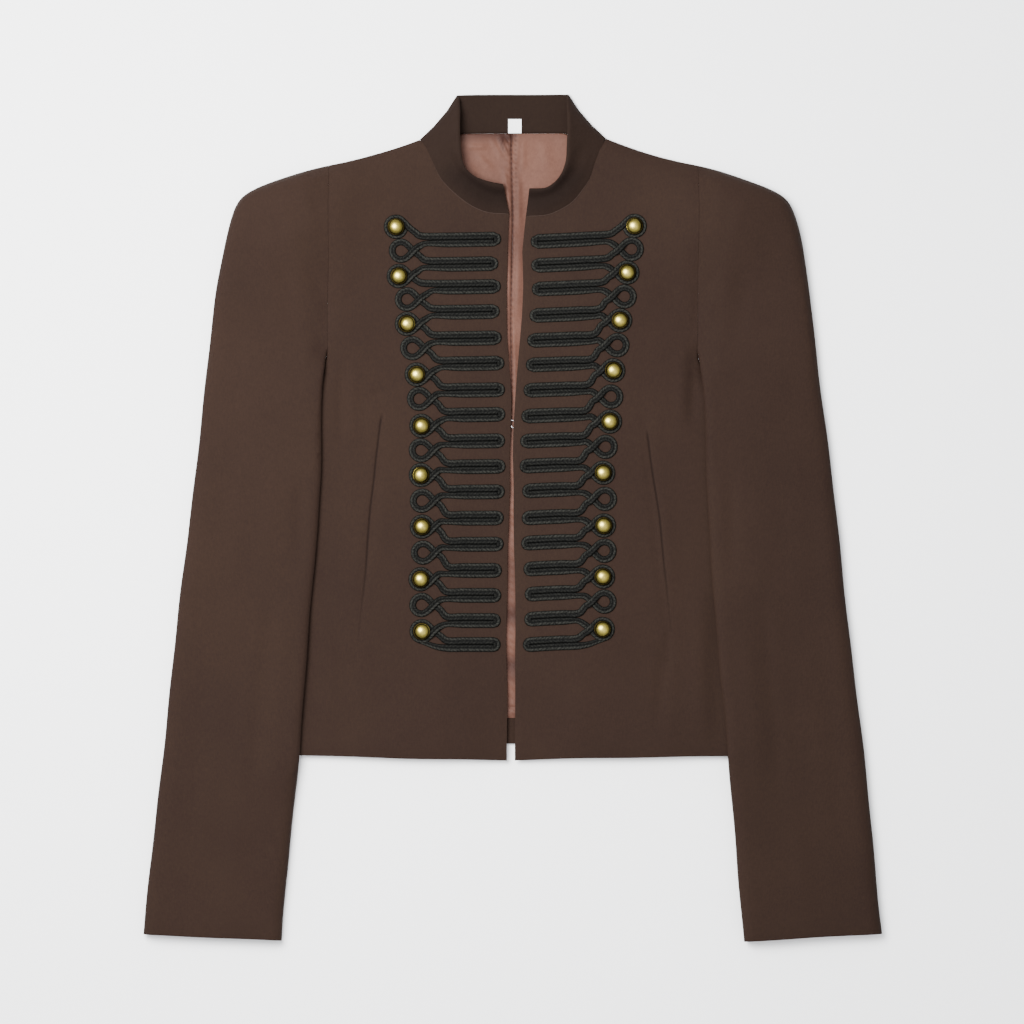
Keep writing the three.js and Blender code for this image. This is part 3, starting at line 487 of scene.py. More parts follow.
outlines = {  # points that the folded edge and the collar's top edge run through
    "shoulder": [(137.7, 303.9), (157.4, 299.8), (176, 295), (200, 287), (218.5, 279.7),
                 (229.8, 272.9), (236, 264.6), (240.3, 253.4), (243.9, 240), (247.3, 223.4),
                 (252, 195), (255.6, 165)],
    "collarRight": [(9, 283), (20, 284.8), (31, 288.4), (38.6, 293.6), (43.4, 301.2), (45, 313.6),
                    (45.5, 329), (45.2, 345.4)],
    "collarLeft": [(13.1, 279.3), (26.1, 279.5), (35, 284.4), (41.4, 292), (45.6, 302.8),
                   (46.8, 315.6), (47.4, 330), (47.2, 346.4)],
    "seamRight": [(4, 258), (20.4, 259.2), (32.5, 263.6), (43.4, 270.6), (55.2, 281),
                  (62.9, 290.6), (69.3, 304.8), (73.4, 314.6)],
    "seamLeft": [(10.4, 256), (27.2, 257.1), (39.1, 261.5), (50, 268.5), (58.6, 278.7),
                 (65.1, 288.6), (69.8, 302.2), (74.2, 313)],
}


roundReach = {"neck": 8, "shoulder": 30}


def roundOff(item, line, sign, reach):
    points = getPoints(item)
    x, y = sign * points[:, 0], points[:, 1]
    before = tuple(2 * np.array(line[0]) - line[1])
    after = tuple(2 * np.array(line[-1]) - line[-2])
    ends = [before, *line, after]
    away, footX, footY = nearestOn(line, x, y)
    fade = (x > 0) * np.clip(1 - away / reach, 0, 1)
    for a, b, c, d in zip(ends, ends[1:], ends[2:], ends[3:]):
        a, b, c, d = (np.array(spot) for spot in (a, b, c, d))
        run = c - b
        share = ((footX - b[0]) * run[0] + (footY - b[1]) * run[1]) / (run @ run)
        side = np.abs((footX - b[0]) * run[1] - (footY - b[1]) * run[0]) / np.hypot(*run)
        here = (share >= 0) * (share < 1) * (side < 0.01)
        t = np.clip(share, 0, 1)[:, None]
        bow = 0.5 * ((c - a) * t + (2 * a - 5 * b + 4 * c - d) * t ** 2
                     + (3 * b - a - 3 * c + d) * t ** 3) - run * t
        points[:, 0] += sign * here * fade * bow[:, 0]
        points[:, 1] += here * fade * bow[:, 1]
    setPoints(item, points)


def rippleHeight(x, y):
    broad = np.sin(x / 31 + 1.3 * np.sin(y / 67)) * np.sin(y / 83 + 0.6 * np.sin(x / 41) + 0.8)
    small = np.sin(x / 11.3 + 0.9 * np.sin(y / 19)) * np.sin(y / 23.7 + 1.1 * np.sin(x / 14))
    return 0.35 * broad + 0.09 * small


def driftOf(x, y):
    driftX = 0.5 * np.sin(y / 37 + 0.8) + 0.25 * np.sin(y / 13.7 + x / 90)
    driftY = 0.4 * np.sin(x / 41 + 0.4) + 0.2 * np.sin(x / 15.1 + y / 110)
    return driftX, driftY


def drifted(x, y):
    driftX, driftY = driftOf(x, y)
    return x + float(driftX), y + float(driftY)


def layCloth(item, folds, lowest=2.6, full=6.4):
    points = getPoints(item)
    x, y, z = points.T
    lifted = easeIn(z, lowest, full)
    height = rippleHeight(x, y) + seamHeight(x, y) + foldHeight(x, y, folds)
    driftX, driftY = driftOf(x, y)
    setPoints(item, np.stack([x + driftX, y + driftY, z + lifted * height], axis=1))


def onSeam(vert):
    x, y = abs(vert.co.x) / mm, vert.co.y / mm
    if abs(x - seamLook["armholeX"]) < 2 and y > seamLook["armholeFoot"]:
        return True
    if y < 250 or x > 84:
        return False
    line = collarSeam["Right" if vert.co.x < 0 else "Left"]
    return float(nearestOn(line, np.array([x]), np.array([y]))[0][0]) < 2


creaseAngle = {"seam": 0.4, "rim": 0.96}  # past this angle an edge is shaded sharp


def finerCloth(name, node, cell, soften):
    bm = bmesh.new()
    bm.from_mesh(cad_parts[node].data)
    bmesh.ops.remove_doubles(bm, verts=bm.verts[:], dist=0.00003)
    bmesh.ops.join_triangles(bm, faces=bm.faces[:], angle_face_threshold=0.7,
                             angle_shape_threshold=1.4)
    for halving in range(9):
        longEdges = [e for e in bm.edges if e.calc_length() > cell * mm]
        if not longEdges:
            break
        bmesh.ops.subdivide_edges(bm, edges=longEdges, cuts=1, use_grid_fill=True)
    for layer in bm.loops.layers.uv.values():
        bm.loops.layers.uv.remove(layer)
    free = [v for v in bm.verts if not onSeam(v)]
    for turn in range(soften):
        bmesh.ops.smooth_vert(bm, verts=free, factor=0.5, use_axis_x=False,
                              use_axis_y=False, use_axis_z=True)
    for edge in bm.edges:
        limit = creaseAngle["seam"] if all(map(onSeam, edge.verts)) else creaseAngle["rim"]
        if edge.is_manifold and edge.calc_face_angle() > limit:
            edge.smooth = False
    return addObject(name, bm)


# cloth pressed down along a line, with finer faces beside it and painted shade along the groove
def pressLine(piece, line, halfWidth, depth, reach=4.5, cell=1.1):
    bm = bmesh.new()
    bm.from_mesh(piece.data)
    for halving in range(3):
        spots = {v: v.co / mm for v in bm.verts}
        x, y = (np.array([spots[v][k] for v in bm.verts]) for k in (0, 1))
        beside = dict(zip(bm.verts, nearestOn(line, x, y)[0] < reach))
        near = [e for e in bm.edges
                if e.calc_length() > cell * mm and all(beside[v] for v in e.verts)]
        bmesh.ops.subdivide_edges(bm, edges=near, cuts=1, use_grid_fill=True)
    bm.to_mesh(piece.data)
    bm.free()
    points = getPoints(piece)
    x, y, z = points.T
    away, footX, footY = nearestOn(line, x, y)
    pressed = np.exp(-((away / halfWidth) ** 2))
    along = np.hypot(footX - line[0][0], footY - line[0][1])
    whole = math.hypot(line[-1][0] - line[0][0], line[-1][1] - line[0][1])
    pressed *= easeIn(along, -4, 6) * (1 - 0.8 * easeIn(along / whole, 0.55, 1.0))
    points[:, 2] -= depth * pressed * (z > 4)
    setPoints(piece, points)
    # painted shade along the pressed line
    setShare(piece, "paintedShade", pressed)


clothPieces = {  # node: cell and softening, cut size in metres, its area
    "front": {"cell": 3.4, "soften": 5, "flat": (0.209, 0.530), "area": 0.0915},
    "sleeveUpper": {"cell": 3.6, "soften": 5, "flat": (0.192, 0.665), "area": 0.0908},
    "sleeveUnder": {"cell": 5.0, "soften": 2, "flat": (0.118, 0.644), "area": 0.0502},
    "back": {"cell": 6.0, "soften": 1, "flat": (0.417, 0.528), "area": 0.1896},
    "collar": {"cell": 2.4, "soften": 6, "flat": (0.368, 0.042), "area": 0.0096},
}


def makeFronts():
    look = clothPieces["front"]
    fronts = {}
    for side, sign in wearersSides.items():
        node = f"front_{side.lower()}"
        piece = finerCloth(f"clothFront{side}", node, look["cell"], look["soften"])
        closeCollar(piece, side, sign)
        roundOff(piece, outlines[f"seam{side}"], sign, roundReach["neck"])
        roundOff(piece, outlines["shoulder"], sign, roundReach["shoulder"])
        pressLine(piece, bodyDarts[side], dartPress["halfWidth"], dartPress["depth"])
        layCloth(piece, bodyFolds)
        finish(piece, [node], [suiting])
        fronts[side] = piece
    return fronts


def levelArmhole(sleeve, front, sign):
    sleeveTop, frontTop = topOf(sleeve), topOf(front)
    seamY = np.arange(142, 300, 2.0)
    steps = []
    for y in seamY:
        x = drifted(sign * seamLook["armholeX"], y)[0]
        inner, outer = frontTop(x - 0.5 * sign, y), sleeveTop(x + 0.5 * sign, y)
        steps.append(inner - outer if inner and outer else 0.0)
    points = getPoints(sleeve)
    outward = sign * points[:, 0] - seamLook["armholeX"]
    beside = np.clip(1 - outward / seamLook["levelReach"], 0, 1)
    there = easeIn(points[:, 1], 141, 150) * easeIn(points[:, 2], 2, 5)
    points[:, 2] += beside * there * np.interp(points[:, 1], seamY, np.clip(steps, -1, 1))
    setPoints(sleeve, points)


def makeSleeves(fronts):
    for side, sign in wearersSides.items():
        for part in ("Upper", "Under"):
            look = clothPieces[f"sleeve{part}"]
            node = f"sleeve_{side.lower()}_{part.lower()}"
            piece = finerCloth(f"clothSleeve{side}{part}", node, look["cell"], look["soften"])
            if part == "Upper":
                closeArmhole(piece)
            roundOff(piece, outlines["shoulder"], sign, roundReach["shoulder"])
            layCloth(piece, sleeveFolds if part == "Upper" else [], 4.5, 9.5)
            if part == "Upper":
                levelArmhole(piece, fronts[side], sign)
            finish(piece, [node], [sleeveSuiting[side]])


def makeBack():
    look = clothPieces["back"]
    piece = finerCloth("clothBack", "back_panel", look["cell"], look["soften"])
    for sign in wearersSides.values():
        roundOff(piece, outlines["shoulder"], sign, roundReach["shoulder"])
    layCloth(piece, [])
    finish(piece, ["back_panel"], [suiting])


collarLook = {  # places are counted from the seam up the stand
    "weltHeight": 0.3, "weltAt": 1.2, "weltWidth": 1.4, "rollRadius": 0.42,
    "hollowDepth": 1.3, "hollowAt": 15, "hollowWidth": 6,
    "bandAt": 19, "bandWidth": 4.2, "bandShade": 0.12, "bandShadeLow": 0.5,
    "lowAt": 11, "lowWidth": 8, "lowShade": 0.6,
}


def meshOfCurve(curve):
    guide = bpy.data.objects.new(curve.name, curve)
    bpy.context.scene.collection.objects.link(guide)
    bpy.context.view_layer.update()
    solid = guide.evaluated_get(bpy.context.evaluated_depsgraph_get())
    mesh = bpy.data.meshes.new_from_object(solid)
    bpy.data.objects.remove(guide)
    return mesh


def lineToMesh(name, spots, radius, resolution=3):
    curve = bpy.data.curves.new("wireLine", "CURVE")
    curve.dimensions = "3D"
    curve.bevel_depth = radius * mm
    curve.bevel_resolution = resolution
    curve.use_fill_caps = True
    spline = curve.splines.new("POLY")
    spline.points.add(len(spots) - 1)
    for point, (x, y, z, share) in zip(spline.points, spots):
        point.co = (x * mm, y * mm, z * mm, 1)
        point.radius = share
    bm = bmesh.new()
    bm.from_mesh(meshOfCurve(curve))
    bmesh.ops.remove_doubles(bm, verts=bm.verts[:], dist=0.000005)
    bmesh.ops.recalc_face_normals(bm, faces=bm.faces[:])
    return addObject(name, bm)


def makeSeamRoll(fronts):
    for side, sign in wearersSides.items():
        height = topOf(fronts[side])
        line = smoothRoute([(x, y, 1, 0) for x, y in collarSeam[side][:-2]], 1.5)
        spots = []
        for k, (x, y, width, lift) in enumerate(line):
            x, y = drifted(sign * x, y)
            ground = max(height(x + dx, y + dy) for dx, dy in ((0, -0.8), (0.6 * sign, -0.5)))
            fade = min(1, 0.35 + k / 4, 0.15 + (len(line) - 1 - k) / 30)
            spots.append((x, y, ground - 0.05, fade))
        roll = lineToMesh(f"collarSeamRoll{side}", spots, collarLook["rollRadius"])
        # the roll takes the lighter cloth: painted highlight along the seam
        roll.data.materials.append(seamHighlight)
        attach(roll, "root")


def makeCollar(fronts):
    look, shape = clothPieces["collar"], collarLook
    piece = finerCloth("clothCollar", "collar_stand", look["cell"], look["soften"])
    points = getPoints(piece)
    shaded = np.zeros(len(points))
    for side, sign in wearersSides.items():
        x, y = sign * points[:, 0], points[:, 1]
        away, footX, footY = nearestOn(collarSeam[side], x, y)
        front = easeIn(x, 0, 3) * easeIn(326 - y, 0, 24) * easeIn(points[:, 2], 2, 6)
        low = easeIn(306 - y, 0, 20)
        welt, hollow, band, lowBand = (
            np.exp(-(((away - shape[f"{part}At"]) / shape[f"{part}Width"]) ** 2))
            for part in ("welt", "hollow", "band", "low"))
        points[:, 2] += front * (shape["weltHeight"] * welt
                                 - shape["hollowDepth"] * (1 + low) * hollow)
        # painted shade: a dark band below the rolled top edge and across the lower front
        shaded += front * (shape["bandShade"] + shape["bandShadeLow"] * low) * band
        shaded += shape["lowShade"] * front * low * lowBand
    setPoints(piece, points)
    setShare(piece, "paintedShade", shaded)
    for side, sign in wearersSides.items():
        roundOff(piece, outlines[f"seam{side}"], sign, roundReach["neck"])
        roundOff(piece, outlines[f"collar{side}"], sign, roundReach["neck"])
    layCloth(piece, [])
    makeSeamRoll(fronts)
    finish(piece, ["collar_stand"], [shadedCollarSuiting])


liningPlan = {
    "cell": 1.9, "soften": 2, "flat": (0.116, 0.497), "area": 0.0232,
    "seamX": -1.1, "seamDepth": 1.1, "seamWidth": 0.85, "seamShows": (30, 150), "valley": 1.6,
    "pleatX": -1.5, "pleatLip": 1.2, "topShade": 0.25, "topShadeLeft": 0.5, "puckerShade": 0.4,
    "puckerWidth": 0.9,
    "pleat": [  # y, height
        (-170, 0), (20, 0.1), (70, 0.4), (150, 0.6), (254, 0.8), (296, 1.2), (312, 1.6),
        (326, 1.2),
    ],
    "folds": [
        (-12, 324, -4, 308, 1.8, 1.1), (-7, 326, -3, 318, 1.2, -0.7),
        (-18, 322, -9, 305, 2.2, 0.8),
        (-38, 316, -22, 315, 2.2, 0.9), (-30, 308, -18, 296, 2.6, 0.8),
        (-40, 302, -32, 290, 3, 0.6),
        (5, 324, 3, 300, 2.0, 0.9), (9, 322, 8, 296, 2.4, 0.7), (26, 322, 30, 296, 5, 0.4),
        (-8, 296, -3, 262, 2.0, 0.9), (4, 292, 5, 240, 2.0, 0.8), (-5, 250, -3, 190, 1.6, 0.7),
        (5, 236, 4, 170, 1.8, 0.7), (2, 160, 3, 90, 1.6, 0.5), (1, 60, 2, -60, 1.6, 0.5),
        (2, -60, 3, -160, 1.8, 0.3), (-6, -84, 12, -80, 6, -0.5), (-6, -104, 12, -102, 7, 0.5),
        (-6, -125, 12, -122, 6, -0.5), (-6, -145, 12, -146, 7, 0.5),
        (-8, -161, 14, -161, 1.2, -0.5), (-8, -166, 14, -166, 2.4, 0.6),
    ],
    # spots of painted shade
    "shade": [  # x, y, half width, half height, strength
        (-4, 324, 7, 6, 0.4), (-9, 317, 1.2, 8, 0.3), (3, 286, 5, 26, 0.3), (-8, 288, 4, 14, 0.1),
        (2, 262, 12, 13, 0.3), (3, 232, 12, 20, 0.42), (3, 190, 12, 16, 0.12),
        (2, 120, 12, 24, 0.15), (2, -48, 14, 27, 0.5), (2, -83, 14, 10, 0.75),
        (2, -126, 14, 9, 0.85), (2, -137, 14, 5, 0.3), (2, -166, 14, 12, 0.3),
    ],
    # lines of painted shade where the lining puckers: from x, y to x, y
    "puckerShadeLines": [(-9.5, 324, -3.6, 308), (-6, 326, -2.4, 312), (-12, 322, -7.4, 312)],
}


def finerAtSeam(piece):
    bm = bmesh.new()
    bm.from_mesh(piece.data)
    for halving in range(2):
        near = [e for e in bm.edges if e.calc_length() > 1.1 * mm
                and all(abs(v.co.x / mm - liningPlan["seamX"]) < 5 for v in e.verts)]
        bmesh.ops.subdivide_edges(bm, edges=near, cuts=1, use_grid_fill=True)
    bm.to_mesh(piece.data)
    bm.free()


def makeLining():
    plan = liningPlan
    piece = finerCloth("satinBack", "back_lining", plan["cell"], plan["soften"])
    finerAtSeam(piece)
    points = getPoints(piece)
    x, y, z = points.T
    lift = foldHeight(x, y, plan["folds"])
    seamX = plan["seamX"] + 0.5 * np.sin(y / 17)
    # painted shade along the seam line, which also sinks the cloth there
    pressed = np.exp(-(((x - seamX) / plan["seamWidth"]) ** 2)) * easeIn(y, *plan["seamShows"])
    lift -= plan["seamDepth"] * pressed
    pleat = np.interp(y, *zip(*plan["pleat"]))
    overLip = 1 - np.clip((x - plan["pleatX"]) / plan["pleatLip"], 0, 1)
    lift += pleat * overLip * np.exp(-((np.minimum(x - plan["pleatX"], 0) / 7) ** 2))
    lift += plan["valley"] * easeIn(y, 262, 292) * (1 - np.exp(-np.abs(x - seamX) / 16))
    beside = np.exp(-(((x - seamX) / 5) ** 2)) * (0.5 + 0.5 * easeIn(y, 250, 300))
    lift += 0.32 * beside * np.sin(y / 1.1 + 1.5 * np.sin(y / 9) + x / 1.4)
    lift += 0.45 * (1 - easeIn(y, 240, 262)) * np.sin(y / 7.5 + 1.7 * np.sin(y / 23))
    stitched = 0.8 + 0.2 * np.sin(y / 0.7 + 2 * np.sin(y / 7))
    stitches = 0.35 * np.exp(-(((x - seamX - 3.6) / 0.8) ** 2)) * (np.sin(y / 0.62) > 0.2)
    # painted shade: the left of the seam darker near the neck
    shaded = 0.13 * easeIn(-x, 0, 4) * easeIn(y, 262, 290)
    # painted shade in soft spots
    for middleX, middleY, halfWidth, halfHeight, strength in plan["shade"]:
        shaded = shaded + strength * np.exp(-(((x - middleX) / halfWidth) ** 2)
                                            - ((y - middleY) / halfHeight) ** 2)
    # painted shade along the pucker lines
    for fromX, fromY, toX, toY in plan["puckerShadeLines"]:
        away = nearestOn([(fromX, fromY), (toX, toY)], x, y)[0]
        shaded = shaded + plan["puckerShade"] * np.exp(-((away / plan["puckerWidth"]) ** 2))
    # painted shadow under the collar, deeper to the left
    underCollar = plan["topShade"] + plan["topShadeLeft"] * easeIn(-x, -6, 2)
    shaded = shaded + underCollar * easeIn(y, 316, 328)
    # the darkening is painted shade, plus a dashed row of stitch marks beside the seam
    darkening = np.clip(pressed * stitched + stitches * easeIn(y, 262, 290) + shaded, 0, 1)
    setShare(piece, "paintedShade", darkening)
    wave = 0.25 * (1 + np.sin(y / 13 + np.sin(x / 6)))
    lift *= easeIn(z, 2.4, 2.9)
    driftX, driftY = driftOf(x, y)
    setPoints(piece, np.stack([x + driftX, y + driftY, z + lift + wave], axis=1))
    finish(piece, ["back_lining"], [satinLining])
    turnUp = finerCloth("clothHemFacing", "back_hem_facing", 2.5, 0)
    layCloth(turnUp, [])
    finish(turnUp, ["back_hem_facing"], [suiting])


labelPlan = {"left": -4.0, "right": 7.2, "top": 339.1, "bottom": 327.1, "low": 2.42,
             "thick": 0.45, "curl": 0.5}


def makeLabel():
    plan = labelPlan
    bm = bmesh.new()
    bmesh.ops.create_grid(bm, x_segments=24, y_segments=24, size=0.5)
    width, length = plan["right"] - plan["left"], plan["top"] - plan["bottom"]
    for vert in bm.verts:
        across, up = vert.co.x, vert.co.y
        ripple = 0.07 * math.sin(9 * across) * (0.5 - up)
        vert.co = (
            (plan["left"] + (across + 0.5) * width) * mm,
            (plan["bottom"] + (up + 0.5) * length) * mm,
            (plan["low"] + plan["thick"] + plan["curl"] * (2 * across) ** 4 * 0.3 + ripple) * mm,
        )
    piece = addObject("wovenLabel", bm)
    wall = piece.modifiers.new("wall", "SOLIDIFY")
    wall.thickness = plan["thick"] * mm
    wall.offset = -1
    finish(piece, ["neck_label"], [labelTape])


# looped braid: one cord a side, as a ring, a bar, a hairpin and so on down
braidLook = {
    "halfPitch": 3.1, "cordWidth": 6.3, "ringCordWidth": 5.8, "ringRadius": 7.5,
    "crossOut": 10.6, "crossLift": 1.5, "joinX": 22, "midX": 16, "midY": 4.2,
    "strandPitch": 0.003, "dark": (5, 5, 5), "light": (34, 34, 31), "aboveCloth": 0.05,
    # shading: how far strands slant and wander, then pairs of gain and offset
    "grain": 760.0, "slant": 0.9, "jitter": 0.7, "strandTone": (0.66, 0.4),
    "outerTone": (0.58, 0.42), "unevenTone": (3.6, -0.95),
    "tilt": {"Right": 0, "Left": 0.045}, "tail": [(12, 13.2, 5.2), (4, 10.4, 4.2), (-3, 8.4, 3)],
    # half of the section, across and up
    "section": [(0, 1.1), (0.45, 1.22), (1.1, 1.6), (1.8, 1.68), (2.5, 1.35), (3.0, 0.7),
                (3.15, 0)],
}
braidBars = {  # bar's middle y, its front end x, the ring's x and y
    "Right": [
        (236.7, 10.2, 99.6, 247.4), (216.0, 12.6, 95.5, 227.1), (196.6, 10.5, 97.2, 205.6),
        (175.3, 11.0, 89.8, 185.9), (152.9, 8.9, 89.4, 165.0), (131.5, 6.8, 85.0, 144.4),
        (108.9, 6.8, 81.6, 122.0), (88.0, 6.5, 79.6, 101.4), (65.6, 6.8, 77.6, 78.4),
        (43.9, 6.8, 78.5, 57.6), (22.4, 7.7, 78.9, 36.6), (0.1, 8.2, 77.8, 14.8),
        (-22.1, 7.7, 77.4, -7.2), (-44.4, 9.3, 76.4, -29.2), (-65.6, 9.8, 78.4, -51.8),
        (-87.0, 9.8, 77.3, -73.6), (-107.4, 9.8, 76.8, -96.0),
    ],
    "Left": [
        (236.0, 14.8, 102.6, 247.8), (215.6, 15.3, 100.6, 228.0), (195.4, 15.8, 97.1, 208.2),
        (172.9, 14.3, 94.7, 187.7), (151.6, 12.8, 91.2, 167.4), (130.7, 11.4, 89.2, 146.4),
        (109.1, 8.9, 85.7, 125.0), (87.1, 7.0, 83.3, 102.8), (65.9, 6.0, 82.1, 81.6),
        (44.6, 5.1, 78.4, 60.2), (23.5, 7.0, 76.2, 38.2), (0.6, 7.0, 77.3, 16.0),
        (-20.8, 7.0, 76.7, -6.6), (-42.8, 9.0, 77.8, -28.0), (-64.2, 10.0, 76.7, -50.0),
        (-85.4, 10.0, 77.8, -71.2), (-107.0, 9.0, 76.5, -94.6),
    ],
}


def braidRoute(side):
    look = braidLook
    bars = braidBars[side]
    tilt = look["tilt"][side]
    route = []  # x, y, width, lift

    def barY(bar, x, offset):
        return bar[0] + offset + tilt * (x - (0.6 * bar[1] + 0.4 * bar[2]))

    def cross(ringX, ringY, up, over):
        if not over:
            route.append((ringX - look["crossOut"], ringY, look["ringCordWidth"], 0))
            return
        for way in (-1, 1):
            step = 1.9 * way
            route.append((ringX - look["crossOut"] + up * step, ringY - step,
                          look["ringCordWidth"], look["crossLift"]))

    for k, bar in enumerate(bars):
        frontX, ringX, ringY = bar[1:]
        joinX = ringX - look["joinX"]
        if k:
            route.append((joinX, barY(bars[k - 1], joinX, -look["halfPitch"]), 5, 0))
            route.append((ringX - look["midX"], ringY + look["midY"], look["ringCordWidth"], 0))
            cross(ringX, ringY, 1, side == "Right")
        for degrees in range(225 if k else 194, 500, 30):
            angle = math.radians(min(degrees, 495))
            route.append((ringX + look["ringRadius"] * math.cos(angle),
                          ringY + look["ringRadius"] * math.sin(angle), look["ringCordWidth"], 0))
        cross(ringX, ringY, -1, side == "Left" and k > 0)
        route.append((ringX - look["midX"], ringY - look["midY"], look["ringCordWidth"], 0))
        endX = frontX + look["halfPitch"] + look["cordWidth"] / 2
        stops = [joinX + (endX - joinX) * share for share in (0, 0.33, 0.67, 1)]
        for x in stops:
            route.append((x, barY(bar, x, look["halfPitch"]), look["cordWidth"], 0))
        for degrees in (120, 150, 180, 210, 240):
            x = endX + look["halfPitch"] * math.cos(math.radians(degrees))
            lift = look["halfPitch"] * math.sin(math.radians(degrees))
            route.append((x, barY(bar, x, lift), look["cordWidth"], 0))
        for x in reversed(stops[1:]):
            route.append((x, barY(bar, x, -look["halfPitch"]), look["cordWidth"], 0))
    last = bars[-1]
    joinX = last[2] - look["joinX"]
    route.append((joinX, barY(last, joinX, -look["halfPitch"]), look["cordWidth"], 0))
    for inward, below, width in look["tail"]:  # runs under the last ring
        route.append((last[2] - inward, last[3] - below, width, 0))
    return route


def smoothRoute(route, step=1.6):
    points = np.array(route, float)
    padded = np.vstack([2 * points[0] - points[1], points, 2 * points[-1] - points[-2]])
    made = []
    for k in range(1, len(padded) - 2):
        a, b, c, d = padded[k - 1:k + 3]
        span = np.hypot(*(c - b)[:2])
        for share in np.linspace(0, 1, max(2, int(span / step) + 1), endpoint=False):
            t2, t3 = share ** 2, share ** 3
            made.append(0.5 * ((2 * b) + (c - a) * share + (2 * a - 5 * b + 4 * c - d) * t2
                               + (3 * b - a - 3 * c + d) * t3))
    made.append(points[-1])
    return np.array(made)


def topOf(item):
    tree = BVHTree.FromObject(item, bpy.context.evaluated_depsgraph_get())

    def height(x, y):
        hit = tree.ray_cast(Vector((x * mm, y * mm, 0.2)), Vector((0, 0, -1)))[0]
        return hit.z / mm if hit else 0.0
    return height


def sectionOutline():
    half = braidLook["section"]
    return [(-x, y) for x, y in reversed(half[1:])] + half + [(1.4, -0.05), (-1.4, -0.05)]


def makeSection(name):
    curve = bpy.data.curves.new(name, "CURVE")
    outline = sectionOutline()
    spline = curve.splines.new("POLY")
    spline.points.add(len(outline) - 1)
    for point, (x, y) in zip(spline.points, outline):
        point.co = (x * mm, y * mm, 0, 1)
    spline.use_cyclic_u = True
    item = bpy.data.objects.new(name, curve)
    bpy.context.scene.collection.objects.link(item)
    return item


def makeBraids(fronts):
    section = makeSection("braidSection")
    materials = []
    for side, sign in wearersSides.items():
        line = smoothRoute(braidRoute(side))
        curve = bpy.data.curves.new("braidLine", "CURVE")
        curve.dimensions = "3D"
        curve.twist_mode = "Z_UP"
        curve.bevel_mode = "OBJECT"
        curve.bevel_object = section
        curve.use_fill_caps = True
        spline = curve.splines.new("POLY")
        spline.points.add(len(line) - 1)
        for point, (x, y, width, lift) in zip(spline.points, line):
            point.co = (sign * x * mm, y * mm, lift * mm, 1)
            point.radius = width / braidLook["cordWidth"]
        mesh = meshOfCurve(curve)
        piece = bpy.data.objects.new(f"loopedBraid{side}", mesh)
        bpy.context.scene.collection.objects.link(piece)
        rounds = len(mesh.vertices) // len(line)
        edgeShare = [sign * x / braidLook["section"][-1][0] for x, y in sectionOutline()]
        across = mesh.attributes.new("across", "FLOAT", "POINT")
        for k, item in enumerate(across.data):
            item.value = edgeShare[k % rounds]
        bm = bmesh.new()
        bm.from_mesh(mesh)
        bmesh.ops.remove_doubles(bm, verts=bm.verts[:], dist=0.000005)
        bmesh.ops.recalc_face_normals(bm, faces=bm.faces[:])
        bm.to_mesh(mesh)
        bm.free()
        mesh.shade_smooth()
        x, y, z = getPoints(piece).T
        driftX, driftY = driftOf(x, y)
        x, y = x + driftX, y + driftY
        height = topOf(fronts[side])
        ground = np.array([height(a, b) for a, b in zip(x, y)])
        setPoints(piece, np.stack([x, y, z + ground + braidLook["aboveCloth"]], axis=1))
        if not materials:
            length = float(np.sum(np.hypot(*np.diff(line[:, :2], axis=0).T))) * mm
            materials.append(makeBraidMaterial(length))
            print("braid length a side", round(length, 3))
        finish(piece, [f"braid_{side.lower()}"], materials)
    bpy.data.objects.remove(section)


# dome buttons sit on every second ring
buttonPlan = {
    # the third value sets how dark the painted shade toward each dome's edge gets
    "steps": 36, "rimFrom": 6.7, "paintedDomeShade": 0.77,
    "profile": [(0, 0.5), (2.0, 0.5), (2.0, 2.7), (6.2, 2.9), (7.0, 3.2), (7.2, 3.6), (7.05, 4.0),
                (6.75, 4.1), (6.6, 4.05), (6.45, 4.35), (6.05, 5.15), (5.3, 6.0), (4.2, 6.85),
                (2.8, 7.5), (1.4, 7.9), (0, 8.0)],
}


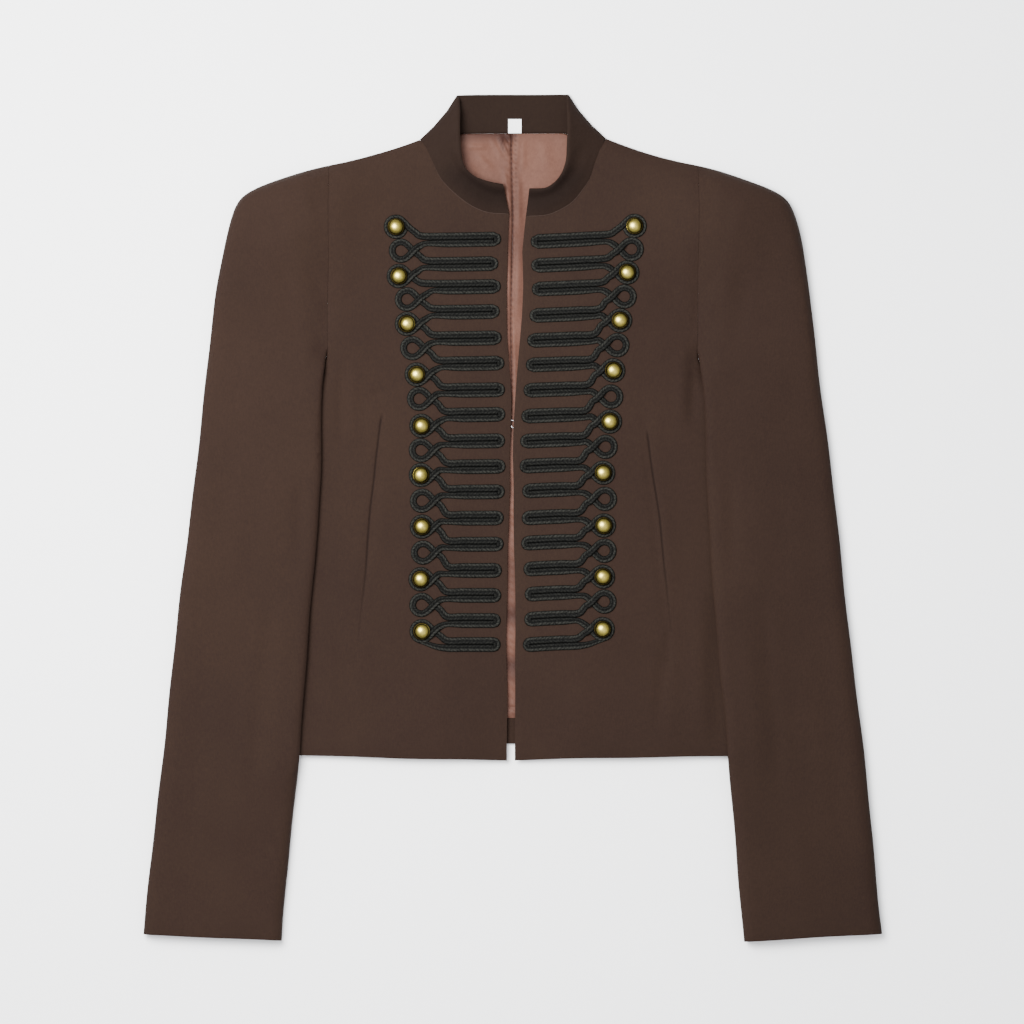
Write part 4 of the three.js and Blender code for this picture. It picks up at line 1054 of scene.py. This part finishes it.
def makeButtons(fronts):
    for side, sign in wearersSides.items():
        height = topOf(fronts[side])
        bm = bmesh.new()
        for ringX, ringY in (bar[2:] for bar in braidBars[side][::2]):
            x, y = drifted(sign * ringX, ringY)
            base = height(x, y)
            row = [bm.verts.new((r * mm, 0, h * mm)) for r, h in buttonPlan["profile"]]
            rowEdges = [bm.edges.new(pair) for pair in zip(row, row[1:])]
            made = bmesh.ops.spin(bm, geom=row + rowEdges, cent=(0, 0, 0), axis=(0, 0, 1),
                                  dvec=(0, 0, 0), angle=2 * math.pi, steps=buttonPlan["steps"],
                                  use_merge=True)
            fresh = [v for v in bm.verts if v.co.length < 0.02 and not v.tag]
            bmesh.ops.translate(bm, verts=fresh, vec=(x * mm, y * mm, base * mm))
            for vert in fresh:
                vert.tag = True
        bmesh.ops.remove_doubles(bm, verts=bm.verts[:], dist=0.00001)
        bmesh.ops.recalc_face_normals(bm, faces=bm.faces[:])
        for face in bm.faces:
            middle = face.calc_center_median()
            nearest = min(
                math.hypot(middle.x / mm - sign * bar[2], middle.y / mm - bar[3])
                for bar in braidBars[side][::2])
            face.material_index = 1 if nearest > buttonPlan["rimFrom"] - 0.6 else 0
        piece = addObject(f"domeButtons{side}", bm)
        points = getPoints(piece)
        fromAxis = np.min([np.hypot(points[:, 0] - sign * bar[2], points[:, 1] - bar[3])
                           for bar in braidBars[side][::2]], axis=0)
        # painted shade: each dome darker from its middle out toward its edge
        share = buttonPlan["paintedDomeShade"] * easeIn(fromAxis, 0.6, buttonPlan["rimFrom"] - 1.1)
        setShare(piece, "paintedDomeShade", share)
        nodes = [f"button_{side.lower()}_{k}" for k in range(1, 10)]
        finish(piece, nodes, [domeBrass, rimBrass])


closurePlan = {
    "wire": 1.1, "z": 4.15, "y": 82,
    "hook": [(-7, 2.2), (-2, 1.2), (1.2, 0.4), (2.2, -1.4), (0.6, -2.6)],
    "eye": [(8, -5.4), (4, -5.8), (-0.6, -5.2), (-1.4, -4.4), (-0.6, -4.0)],
}


def makeClosure():
    for part, node in (("hook", "closure_hook"), ("eye", "closure_eye")):
        line = smoothRoute([(x, closurePlan["y"] + y, 1, 0) for x, y in closurePlan[part]], 0.35)
        spots = [(x, y, closurePlan["z"], 1) for x, y, width, lift in line]
        piece = lineToMesh("wire" + part.capitalize(), spots, closurePlan["wire"] / 2, 4)
        finish(piece, [node], [nickelWire])


makeCamera()
makeStudio()
makeBack()
fronts = makeFronts()
print("body made")
makeSleeves(fronts)
makeCollar(fronts)
makeLining()
makeLabel()
print("sleeves, collar and lining made")
makeBraids(fronts)
makeButtons(fronts)
makeClosure()
print("braid, buttons and closure made")
